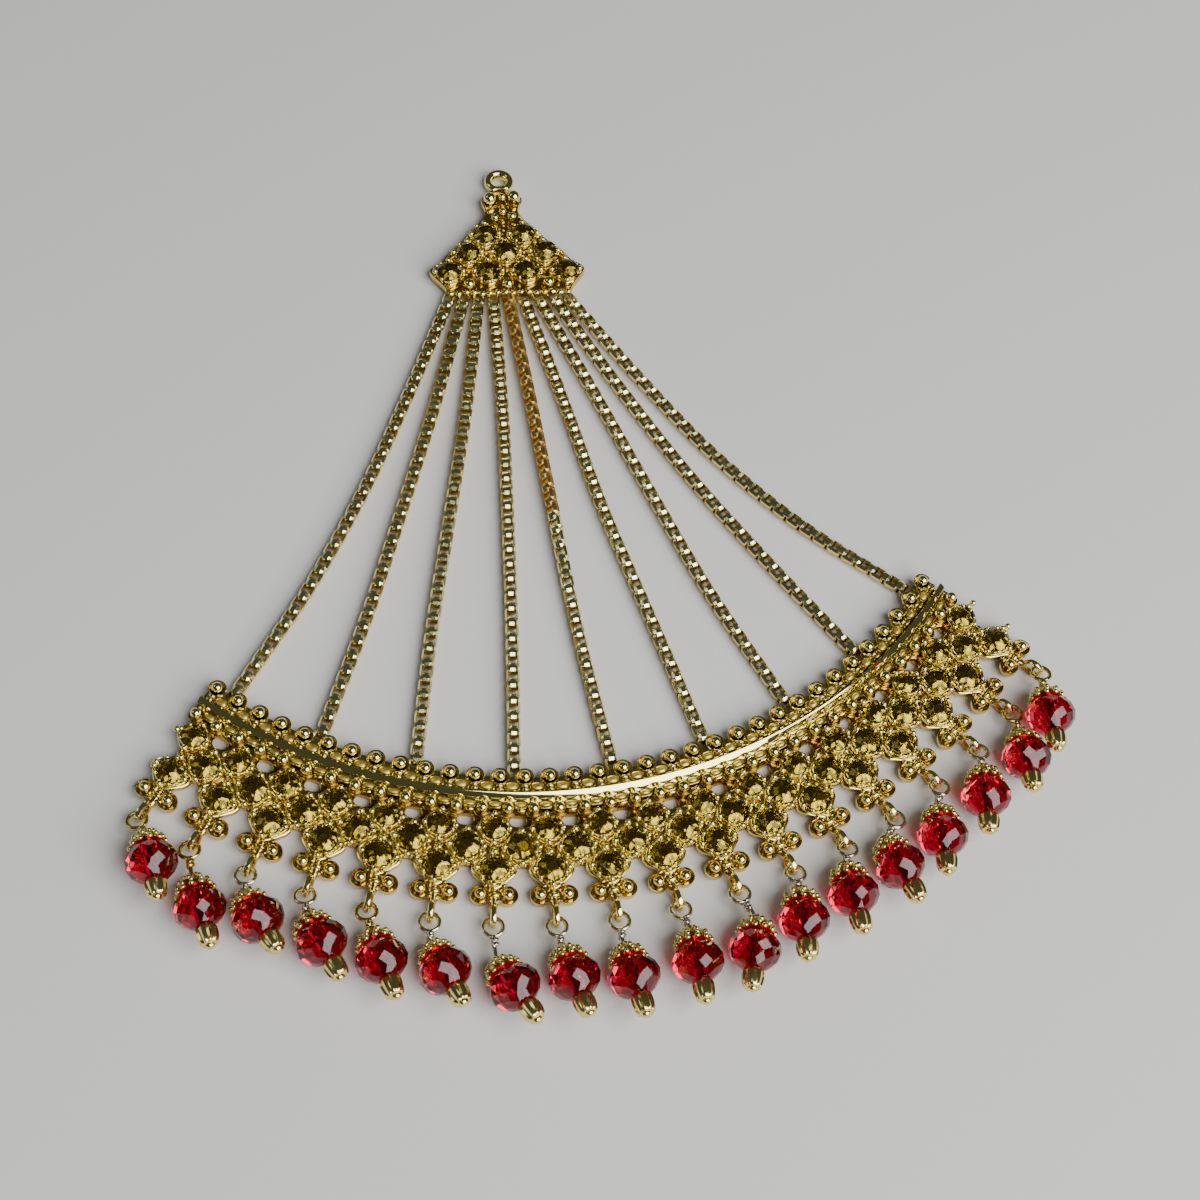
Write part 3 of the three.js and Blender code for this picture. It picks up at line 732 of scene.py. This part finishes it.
def trefoil():
    """Two ball lobes, the web between them, a dash, grains, and the stem of the cast loop; Y points
    at the arcs' centre."""
    lobes = copies(lobe(1.12, 1.6, 1.15), frames_at([-TREFOIL_BALL, TREFOIL_BALL], 0, 0))
    profile = [(0, 0.05), (0.7, 0.05), (0.98, 0.7), (0.98, 1.2), (0.85, 1.34), (0, 1.4)]
    web = copies(turned(profile, 20, rounded_diamond(2.2)), frames_at(0, [0.05, 1.0], 0))
    stem_path = [(0, -0.3, 0.85), (0, -0.9, 0.9), (0, -1.55, 1.05)]
    stem = swept(stem_path, circle(0.5, 10), grow=(1.35, 1.05, 0.66))
    dash = copies(ball(10, 5), frames_at(0, -0.02, 1.55, scale=(0.62, 0.3, 0.28)))
    grains = np.array([  # across, along, size
        (-0.62, 0.62, 0.24), (0, 0.6, 0.22), (0.62, 0.62, 0.24), (-1, 1.15, 0.28), (1, 1.15, 0.28),
        (-0.45, -0.62, 0.2), (0.45, -0.62, 0.2), (0, 1.1, 0.3), (-0.4, -0.3, 0.16),
    ])
    grains = frames_at(grains[:, 0], grains[:, 1], 1.5, scale=grains[:, 2:])
    return together(lobes, web, stem, dash, copies(ball(6, 3), grains))


def cast_loops():
    """The loop at each trefoil's tip: a torus standing on edge, thicker across than along."""
    lying = ring_of(LOOP_MEAN, LOOP_WIRE, 24, 8, flat=1.35)
    standing = Shape(lying.points[:, [2, 0, 1]], lying.quads)
    return spread(standing, LOOP_R, TREFOIL_ANGLES, LOOP_Z)


def crescent_casting(half, settings):
    """All that is cast with the crescent, apart from its balls, bar, tiles and dishes of painted
    shade.
    """
    post = turned([(0, 0.02), (0.8, 0.02), (0.75, 0.75), (0, 0.8)], 12)
    oval = ring_of(1.0, 0.2, 20, 6, flat=1.4)
    return together(
        *(arc_band(*band) for band in BANDS),
        top_rail(),
        low_rail(),
        spread(edge_lip(), ROW_R[2], spaced(TREFOILS, ROW_PITCH[2])),
        copies(collet(half), settings),
        spread(post, POST_R, HOLE_ANGLES, across=POST_ACROSS),
        spread(oval, HOLE_R, HOLE_ANGLES, 0.8, across=HOLE_ACROSS, scale=HOLE_OVAL),
        scrolls(),
        spread(trefoil(), TREFOIL_R, TREFOIL_ANGLES),
        cast_loops(),
    )


def crescent_balls(radius):
    """The balls of both rails and of the trefoils, and a smaller one at each corner."""
    frames = np.concatenate([
        arc_frames(TOP_RAIL_R, TOP_ANGLES, TOP_BALL_Z),
        arc_frames(LOW_RAIL_R, LOW_ANGLES, LOW_BALL_Z),
        arc_frames(TREFOIL_R, TREFOIL_ANGLES, TIP_BALL_Z, across=-TREFOIL_BALL),
        arc_frames(TREFOIL_R, TREFOIL_ANGLES, TIP_BALL_Z, across=TREFOIL_BALL),
        arc_frames(*CORNER_BALLS, CORNER_BALL_Z, scale=CORNER_BALL_SHARE),
    ])
    frames[:, :3, :3] *= radius
    return copies(ball(14, 8), frames)


def bar():
    """The polished bar between the two rails: a steep inner side, a narrow ridge and a long outer
    slope, whose foot lies lower along part of its right half. Its drop grows from nothing over 10
    degrees and goes back to nothing over the last 5."""
    shape = swept(arc_path(BAR_R, BAR_REACH, 200), BAR_SECTION)
    out = shape.points[:, :2] - ARC_CENTRE
    degrees = np.degrees(np.arctan2(out[:, 0], -out[:, 1]))
    foot = (np.linalg.norm(out, axis=1) > BAR_R + 0.2) & (shape.points[:, 2] > 1.5)
    grows, ends = (degrees - BAR_STEEP_FROM) / 10, (BAR_STEEP_TO - degrees) / 5
    shape.points[:, 2] -= BAR_STEEPER * np.clip(grows, 0, 1) * np.clip(ends, 0, 1) * foot
    return shape


def head_casting(half, settings):
    """All that is cast with the top plate, apart from its balls and its eye."""
    right = np.array(HEAD_OUTLINE)
    outline = rounded_outline(np.vstack([right, right[::-1] * (-1, 1)]))
    rim = (  # inset, height
        (0.45, 0), (0.02, 0.6), (0, 1.4), (0.07, 1.58), (0.2, 1.64), (0.33, 1.56), (0.4, 1.1),
    )
    u, v, size = HEAD_BALLS[:HEAD_PADS].T
    wide = size * 1.2
    pads = head_frames(u, v, 1.2, scale=np.column_stack([wide, wide, np.ones(HEAD_PADS)]))
    star = polar(0.72, turn_steps(5) + 0.4)[:, :2]
    grains = (HEAD_GRAINS[:, None] + star).reshape(-1, 2)
    pearls = np.linspace(-HEAD_PEARL_REACH, HEAD_PEARL_REACH, HEAD_PEARLS)
    size = np.stack([
        0.5 + 0.12 * ripple(pearls, 3), 0.36 + 0.05 * ripple(pearls, 4), np.full(HEAD_PEARLS, 0.34),
    ], -1)
    edge = head_frames(pearls, -0.72 + 0.16 * ripple(pearls, 2), 1.5, scale=size)
    return together(
        copies(slab(outline, rim), head_frames(0, 0)),
        copies(collet(half, -0.15), settings),
        copies(ring_of(1, 0.13, 20, 6), pads),
        copies(ball(6, 3), head_frames(*grains.T, 1.55, scale=0.24)),
        copies(ball(8, 4), edge),
        slab_edge_grains(outline),
    )


def slab_edge_grains(outline):
    """Fine granules just inside the top plate's stepped sides, moved in towards its middle."""
    pick = outline[8:-8:4]
    pick = pick[pick[:, 1] < 12]
    spot = pick + unit(np.array([0, 6.0]) - pick) * 0.55
    return copies(ball(6, 3), head_frames(*spot.T, 1.55, scale=0.23))


def hanging_eye():
    """The thick eye at the tip of the top plate: a section of |cos|^p and |sin|^p, a little squarer
    than a circle, turned about the hole and closed on itself."""
    middle, half_width, power = (EYE_OUTER + EYE_INNER) / 2, (EYE_OUTER - EYE_INNER) / 2, 0.95
    t, a = turn_steps(14), turn_steps(40)[:, None]
    x, z = (np.sign(w) * np.abs(w) ** power for w in (np.cos(t), np.sin(t)))
    grid = polar(middle + half_width * x, a, EYE_HEIGHT / 2 * (1 + z))
    return copies(skin(grid[:, ::-1], True, True), head_frames(EYE_U, EYE_V))


def head_balls():
    """The balls of the top plate, each of its own size."""
    u, v, size = HEAD_BALLS.T
    return copies(ball(16, 9), head_frames(u, v, HEAD_BALL_Z, scale=size[:, None]))


# ---------------- stones

def stone(radius):
    """A round stone with a table, eight kites and sixteen girdle facets, a glass crown over foil cut
    alike, and the number of each triangle's material. Each ring of corners stands part of a step
    round from the last, and neighbours are joined by triangles."""
    starts = np.cumsum([0] + [row[2] for row in STONE_RINGS])
    points = [
        polar(share, turn_steps(count, phase), height) * radius
        for share, height, count, phase in STONE_RINGS
    ]
    e, s = np.arange(8), np.arange(16)
    following, after, wide = (e + 1) % 8, (s + 1) % 16, (2 * e + 2) % 16
    table, star, girdle, under, back, foil = starts[:6]
    crown = faces(
        (table, table + np.arange(1, 7), table + np.arange(2, 8)),
        (table + e, star + e, table + following),
        (table + following, star + e, star + following),
        (star + e, girdle + 2 * e, girdle + 2 * e + 1),
        (star + e, girdle + 2 * e + 1, girdle + wide),
        (star + e, girdle + wide, star + following),
    )
    behind = faces(
        (girdle + s, under + s, under + after),
        (girdle + s, under + after, girdle + after),
        (under + 2 * e, back + e, under + 2 * e + 1),
        (under + 2 * e + 1, back + e, under + wide),
        (under + wide, back + e, back + following),
        (back + e, foil + e, foil + following),
        (back + e, foil + following, back + following),
        (foil, foil + np.arange(2, 8), foil + np.arange(1, 7)),
    )
    numbers = np.repeat([0, 1], [len(crown), len(behind)])
    return Shape(np.vstack(points), tris=np.vstack([crown, behind])), numbers


def stone_frames(frames, seed):
    """Each stone sits a little tilted, turned and sunk in its setting."""
    scatter = np.random.default_rng(seed)
    count = len(frames)
    turn = scatter.uniform(0, STONE_TURNS, count)
    lean = scatter.uniform(-STONE_LEANS, STONE_LEANS, (2, count))
    sink = scatter.uniform(-STONE_SINKS, STONE_SINKS, count)
    return frames @ frames_at(0, 0, STONE_Z + sink, turn, tilt=(lean[0], lean[1]))


# ---------------- chains

def corner_points(name):
    """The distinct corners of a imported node, in millimetres."""
    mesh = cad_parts[name].data
    points = np.empty(len(mesh.vertices) * 3)
    mesh.vertices.foreach_get("co", points)
    return np.unique(np.round(points.reshape(-1, 3) / MM, 3), axis=0)


def chain_route(name):
    """The middle of a packed chain tube, foot first: its corners grouped into rings of eight along
    its longest axis, and each ring's mean."""
    points = corner_points(name)
    middle = points.mean(0)
    along = np.linalg.svd(points - middle, full_matrices=False)[2][0]
    along *= -np.sign(along[1])
    order = points[np.argsort((points - middle) @ along)]
    return order[: len(order) // 8 * 8].reshape(-1, 8, 3).mean(1)


def link(width, strip, quarter):
    """One box link: a loop in the plane of X, along the chain, and Z, of strip as wide as Y. The
    quarter is mirrored into a whole loop, and both edges of the strip are wide bevels."""
    half = width / 2 - strip / 2
    q = np.array([(along, half - drop) for along, drop in quarter] + [(quarter[-1][0], 0.04)])
    loop = np.vstack([q[::-1], q * (-1, 1), q[::-1] * (-1, -1), q * (1, -1)])
    path = np.stack([loop[:, 0], np.zeros(len(loop)), loop[:, 1]], -1)
    wide, thin = width / 2 - strip - 0.02, strip / 2
    inside, edge = thin + 0.08, 0.22 - thin
    section = (
        (inside, -wide), (inside, wide), (edge, wide), (-thin, 0.5 * wide), (-thin, -0.5 * wide),
        (edge, -wide),
    )
    return swept(path, section, up=(0, 1, 0), closed=True)


def chain_links(rings, twist, width, strip):
    """Links set along a route at an even pitch, each a quarter turn round from the last, with a
    slight wobble. Twist gives the chain's own turn at a share of its length, and where it stands on
    its corner it lies higher, by |sin 2 twist|."""
    fine = smooth_line(rings, 400)
    head, foot = fine[0] - fine[1], fine[-1] - fine[-2]
    fine = np.vstack([fine[0] + CHAIN_TUCK[0] * head / np.linalg.norm(head), fine])
    fine = np.vstack([fine, fine[-1] + CHAIN_TUCK[1] * foot / np.linalg.norm(foot)])
    run = np.concatenate([[0], np.cumsum(np.linalg.norm(np.diff(fine, axis=0), axis=1))])
    count = int((run[-1] + 0.9) // LINK_PITCH)
    count -= 1 - count % 2
    number = np.arange(count)
    places = spaced(count, LINK_PITCH) + run[-1] / 2
    centre, ahead, behind = (
        np.stack([np.interp(places + step, run, fine[:, k]) for k in range(3)], -1)
        for step in (0, 0.3, -0.3)
    )
    tangent = unit(ahead - behind)
    side = unit(np.cross([0, 0, 1.0], tangent))
    up = np.cross(tangent, side)
    turn = twist(places / run[-1])
    centre[:, 2] += 0.07 + 0.28 * np.abs(np.sin(2 * turn))
    wobble = np.radians(2.5 * ripple(number, run[-1]))
    roll = turn + wobble + np.where(number % 2 == 0, math.pi / 2, 0.0)
    c, s = np.cos(roll)[:, None], np.sin(roll)[:, None]
    frames = np.zeros((count, 4, 4))
    frames[:, :3] = np.stack([tangent, c * side + s * up, -s * side + c * up, centre], -1)
    frames[:, 3, 3] = 1
    sides, fronts = link(width, strip, LINK_SIDE), link(width, strip, LINK_FACE)
    return together(copies(sides, frames[::2]), copies(fronts, frames[1::2]))


# ---------------- drops

def drop_frame(number):
    """The frame of a packed bead: its middle, and the axis its corners are spread along unlike the
    other two, pointing away from the arcs' centre."""
    low, high = (np.array(corner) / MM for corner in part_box(f"drop_bead_{number}"))
    middle = (low + high) / 2
    values, axes = np.linalg.eigh(np.cov((corner_points(f"drop_bead_{number}") - middle).T))
    axis = axes[:, np.argmax(np.abs(values - np.median(values)))]
    axis *= np.sign(axis @ np.append(middle[:2] - ARC_CENTRE, 0))
    side = unit(np.cross([0, 0, 1.0], axis))
    return set_frame(side, np.cross(axis, side), axis, middle)


def on_pin(drop, height):
    """The point of a drop's axis at a height above the bead's middle."""
    return drop[:3, :3] @ [0, 0, height] + drop[:3, 3]


def rondelle(radius, phase):
    """A faceted bead of flat kites: corner rings stand half a step round from their neighbours, and
    every kite joins two corners of its own ring to one of the ring above and one of the ring below.
    A straight bore runs through."""
    rings = [(-h, r) for h, r in zip(BEAD_HEIGHTS[:0:-1], BEAD_SHARES[:0:-1])]
    rings += list(zip(BEAD_HEIGHTS, BEAD_SHARES))
    sides, last = BEAD_SIDES, len(rings) - 1
    j = np.arange(sides)
    after, kites = (j + 1) % sides, []
    points = [
        polar(radius * share, TAU * (j + 0.5 * (i % 2) + phase) / sides, height)
        for i, (height, share) in enumerate(rings)
    ]
    points += [polar(BORE, TAU * (j + phase) / sides, height) for height in (-BEAD_END, BEAD_END)]
    for i in range(1, last):
        tip = after if i % 2 else j
        kites.append((i * sides + j, (i - 1) * sides + tip, i * sides + after, (i + 1) * sides + tip))
    top, bore = last * sides, (last + 1) * sides
    low, high = bore, bore + sides
    quads = faces(
        *kites,
        (j, low + j, low + after, after),
        (low + j, high + j, high + after, low + after),
        (top + j, top + after, high + after, high + j),
    )
    tris = faces((j, after, sides + j), (top - sides + j, top + after, top + j))
    return Shape(np.vstack(points), quads, tris)


def cap():
    """A granulated cap: rings of balls in steps up its dome, and a collar at the pin."""
    rings = []
    for count, out, along, grain, start in CAP_RINGS:
        one = copies(ball(9, 5), frames_at(out, 0, along, scale=grain))
        rings.append(copies(one, frames_at(0, 0, 0, start + np.arange(count) * 360 / count)))
    return together(*rings, copies(ring_of(0.6, 0.2, 18, 6), frames_at(0, 0, -3.9)))


def cap_ground():
    """The closed dome under the granules, painted dark as the shade between them, which also hides the
    bead's end.
    """
    return turned(CAP_DOME, 20)


def end_bead():
    """A fluted barrel, blunt at its foot, with a small ball head: the radius is multiplied by
    1 - 0.16 |cos 5a|^1.5, which leaves ten ribs."""
    body = turned(END_BARREL, 40, lambda a: 1 - 0.16 * np.abs(np.cos(5 * a)) ** 1.5)
    return together(body, copies(ball(12, 7), frames_at(0.12, 0, 4.66, scale=(0.56, 0.56, 0.42))))


def eye_pin(number, drop):
    """The pin of a drop: an eye linked through the cast loop, a neck with a helix of wire wrapped
    round its upper part, and the shank through cap and beads."""
    neck_wire, coil_wire, shank_wire, coil_radius, coil_turns = 0.27, 0.17, 0.29, 0.36, 2.25
    held = np.array([*on_arc(LOOP_R + LOOP_MEAN, TREFOIL_ANGLES[number - 1]), LOOP_Z])
    tip = on_pin(drop, -3.55)
    towards = unit(tip - held)
    eye = held + 0.12 * towards
    level = unit(np.array([0, 0, 1.0]) - towards[2] * towards)
    turn = set_frame(towards, np.cross(level, towards), level, eye)
    root = eye + LOOP_MEAN * towards
    bend = tip + drop[:3, :3] @ [0, 0, -0.5]
    neck = smooth_line([root, 0.5 * root + 0.5 * bend, tip], 10)
    span = tip - root
    run = unit(span)
    one = unit(np.cross(run, level))
    spin = np.linspace(0, TAU * coil_turns, 40)[:, None]
    sweep = np.cos(spin) * one + np.sin(spin) * np.cross(run, one)
    coil = root + span * np.linspace(0.05, 0.42, 40)[:, None] + coil_radius * sweep
    shank = [on_pin(drop, height) for height in (-3.6, -1.0, 1.0, 2.6)]
    return together(
        copies(ring_of(LOOP_MEAN, LOOP_WIRE, 28, 8), turn), wire(neck, neck_wire, 8),
        wire(coil, coil_wire, up=run), wire(shank, shank_wire, 8),
    )


# ---------------- operators

CAMERA = {"lens": 60.0, "sensor_width": 36.0, "clip_start": 0.01}
CAMERA_PLACE = (-0.039462, -0.122298, 0.203539)
CAMERA_SIGHT, CAMERA_UP = (0.18170, 0.48269, -0.85673), (0.14493, 0.84858, 0.50883)
FLOOR_REACH, FLOOR_DROP = 2.5, 0.00002
LIGHTS = (  # name, setting of its power, direction it stands in, distance, size
    ("key softbox", "key", (0.40, -0.62, 0.68), 0.75, 0.74),
    ("overhead sheet", "fill", (-0.75, 0.25, 0.62), 0.90, 0.30),
)
ROOM = {"Color": (0.55, 0.6, 0.55, 1), "Strength": 0.10}


class JHOOMAR_OT_stage(Operator):
    """Camera, pale floor and soft lights"""

    bl_idname = "jhoomar.stage"
    bl_label = "Stage"

    def execute(self, context):
        look, scene = context.scene.jhoomar_stage, context.scene
        scene.camera = placed("camera", bpy.data.cameras.new("camera"))
        for name, value in CAMERA.items():
            setattr(scene.camera.data, name, value)
        sight = Vector(CAMERA_SIGHT)
        right = sight.cross(Vector(CAMERA_UP)).normalized()
        up = right.cross(sight).normalized()
        turn = Matrix((right, up, -sight)).transposed().to_4x4()
        scene.camera.matrix_world = Matrix.Translation(CAMERA_PLACE) @ turn
        mesh = bpy.data.meshes.new("floor")
        reach = FLOOR_REACH
        corners = (-reach, -reach, 0), (reach, -reach, 0), (reach, reach, 0), (-reach, reach, 0)
        mesh.from_pydata(corners, [], [(0, 1, 2, 3)])
        floor = placed("floor", mesh)
        floor.location.z = -FLOOR_DROP
        material, tree, shader, _ = blank("floor paper")
        feed(tree, shader, {"Base Color": (*look.floor, 1), "Roughness": 0.75})
        mesh.materials.append(material)
        for name, power, towards, distance, size in LIGHTS:
            light = placed(name, bpy.data.lights.new(name, "AREA"))
            light.data.shape, light.data.size = "SQUARE", size
            light.data.energy = getattr(look, power)
            direction = Vector(towards).normalized()
            light.location = direction * distance
            light.rotation_euler = direction.to_track_quat("Z", "Y").to_euler()
        scene.world = bpy.data.worlds.new("studio")
        scene.world.use_nodes = True
        tree = scene.world.node_tree
        feed(tree, tree.nodes["Background"], ROOM)
        return {"FINISHED"}


class JHOOMAR_OT_crescent(Operator):
    """The stone-set crescent: its casting, balls and polished bar"""

    bl_idname = "jhoomar.crescent"
    bl_label = "Crescent"

    def execute(self, context):
        size, look = context.scene.jhoomar_sizes, finishes()
        settings = setting_frames()[0]
        settings[:TREFOILS, :2, :2] *= ROW_ONE_SHARE
        casting = crescent_casting(size.collet / MM, settings)
        piece("crescent_casting", casting, [look["cast"]], 40, replaces=["crescent_plate"])
        piece("rail_tiles", rail_tiles(), [look["tile"]], 50)
        piece("ball_grounds", ball_grounds(), [look["painted_shade"]], 50)
        piece("crescent_balls", crescent_balls(size.rail_ball / MM), [look["polished"]], 80)
        piece("crescent_bar", bar(), [look["polished"]], 25)
        return {"FINISHED"}


class JHOOMAR_OT_top_plate(Operator):
    """The small stepped top plate with its balls and hanging eye"""

    bl_idname = "jhoomar.top_plate"
    bl_label = "Top plate"

    def execute(self, context):
        size, look = context.scene.jhoomar_sizes, finishes()
        casting = head_casting(size.collet / MM, setting_frames()[1])
        piece("top_casting", casting, [look["cast"]], 40, replaces=["top_plate"])
        piece("top_balls", head_balls(), [look["polished"]], 80)
        piece("hanging_eye", hanging_eye(), [look["polished"]], 80)
        return {"FINISHED"}


class JHOOMAR_OT_stones(Operator):
    """The faceted stones and the claws that hold them"""

    bl_idname = "jhoomar.stones"
    bl_label = "Stones and claws"

    def execute(self, context):
        size, look = context.scene.jhoomar_sizes, finishes()
        one, behind = stone(size.stone / MM)
        half = size.collet / MM
        crescent, top = setting_frames()
        crescent[:TREFOILS, :3, :3] *= ROW_ONE_SHARE
        for name, frames, claw, seed in (
            ("crescent", crescent, claws(half, 9), SEED),
            ("top", top, claws(half - 0.1, 7, -0.15), SEED + 1),
        ):
            many, numbers = copies(one, stone_frames(frames, seed)), np.tile(behind, len(frames))
            piece(f"{name}_stones", many, [look["stone"], look["foil"]], 0,
                  numbers)
            piece(f"{name}_claws", copies(claw, frames), [look["grain"]], 60)
        return {"FINISHED"}


class JHOOMAR_OT_chains(Operator):
    """The nine box chains"""

    bl_idname = "jhoomar.chains"
    bl_label = "Box chains"

    def execute(self, context):
        size, look = context.scene.jhoomar_sizes, finishes()
        for number in range(1, CHAINS + 1):
            most = math.radians(TWIST) if number == CHAIN_TWISTED else 0.0
            twist = lambda s: most * np.clip((0.68 - s) / 0.2, 0, 1)
            route = chain_route(f"chain_{number}")
            shape = chain_links(route, twist, size.link / MM, size.strip / MM)
            upper = shape.points[shape.quads].mean(1)[:, 1] > WARM_FROM
            warm = upper & (number == CHAIN_TWISTED)
            piece(f"box_chain_{number}", shape, [look["chain"], look["warm"]], 15,
                  warm, [f"chain_{number}"])
        return {"FINISHED"}


class JHOOMAR_OT_drops(Operator):
    """The eighteen drops: eye pin, filigree cap, red bead and end bead"""

    bl_idname = "jhoomar.drops"
    bl_label = "Bead drops"

    def execute(self, context):
        size, look = context.scene.jhoomar_sizes, finishes()
        one_cap, painted_shade, one_end = cap(), cap_ground(), end_bead()
        for number in range(1, DROPS + 1):
            drop = drop_frame(number)
            gold = number in GOLD_EYES
            pin, slot = ("finding", "finding_gold") if gold else ("pale", "pale_wire")
            piece(f"eye_pin_{number}", eye_pin(number, drop), [look[pin]], 60,
                  replaces=[f"drop_pin_{number}"])
            turn = drop @ frames_at(0, 0, 0, GOLDEN_TURN * number)[0]
            for name, shape, key, smooth in (
                ("bead_cap", copies(one_cap, turn), "finding", 60),
                ("cap_ground", copies(painted_shade, drop), "painted_shade", 60),
            ):
                piece(f"{name}_{number}", shape, [look[key]], smooth)
            bead = copies(rondelle(size.bead / MM, 0.37 * number), drop)
            piece(f"red_bead_{number}", bead, [look["ruby"]], 0,
                  replaces=[f"drop_bead_{number}"])
            piece(f"end_bead_{number}", copies(one_end, turn), [look["end"]], 50)
        return {"FINISHED"}


class JHOOMAR_PT_sidebar(Panel):
    """Lists the pieces of the ornament"""

    bl_idname = "JHOOMAR_PT_sidebar"
    bl_label = "Jhoomar"
    bl_space_type = "VIEW_3D"
    bl_region_type = "UI"
    bl_category = "Jhoomar"

    def draw(self, context):
        for step in STEPS:
            self.layout.operator(step.bl_idname)
        for group in GROUPS:
            settings = getattr(context.scene, group)
            for name in settings.__annotations__:
                self.layout.prop(settings, name)


STEPS = (
    JHOOMAR_OT_stage, JHOOMAR_OT_crescent, JHOOMAR_OT_top_plate, JHOOMAR_OT_stones,
    JHOOMAR_OT_chains, JHOOMAR_OT_drops,
)
GROUPS = {
    "jhoomar_finish": JhoomarFinish, "jhoomar_sizes": JhoomarSizes, "jhoomar_stage": JhoomarStage,
}


def register():
    """Makes Blender know the settings, the operators and the panel."""
    for group, kind in GROUPS.items():
        bpy.utils.register_class(kind)
        setattr(bpy.types.Scene, group, PointerProperty(type=kind))
    for kind in (*STEPS, JHOOMAR_PT_sidebar):
        bpy.utils.register_class(kind)


def unregister():
    """Takes back all that register does, in the opposite order."""
    for kind in (JHOOMAR_PT_sidebar, *reversed(STEPS)):
        bpy.utils.unregister_class(kind)
    for group, kind in reversed(GROUPS.items()):
        delattr(bpy.types.Scene, group)
        bpy.utils.unregister_class(kind)


def main():
    """Builds everything in order."""
    register()
    for step in STEPS:
        area, action = step.bl_idname.split(".")
        getattr(getattr(bpy.ops, area), action)()


if __name__ == "__main__":
    main()
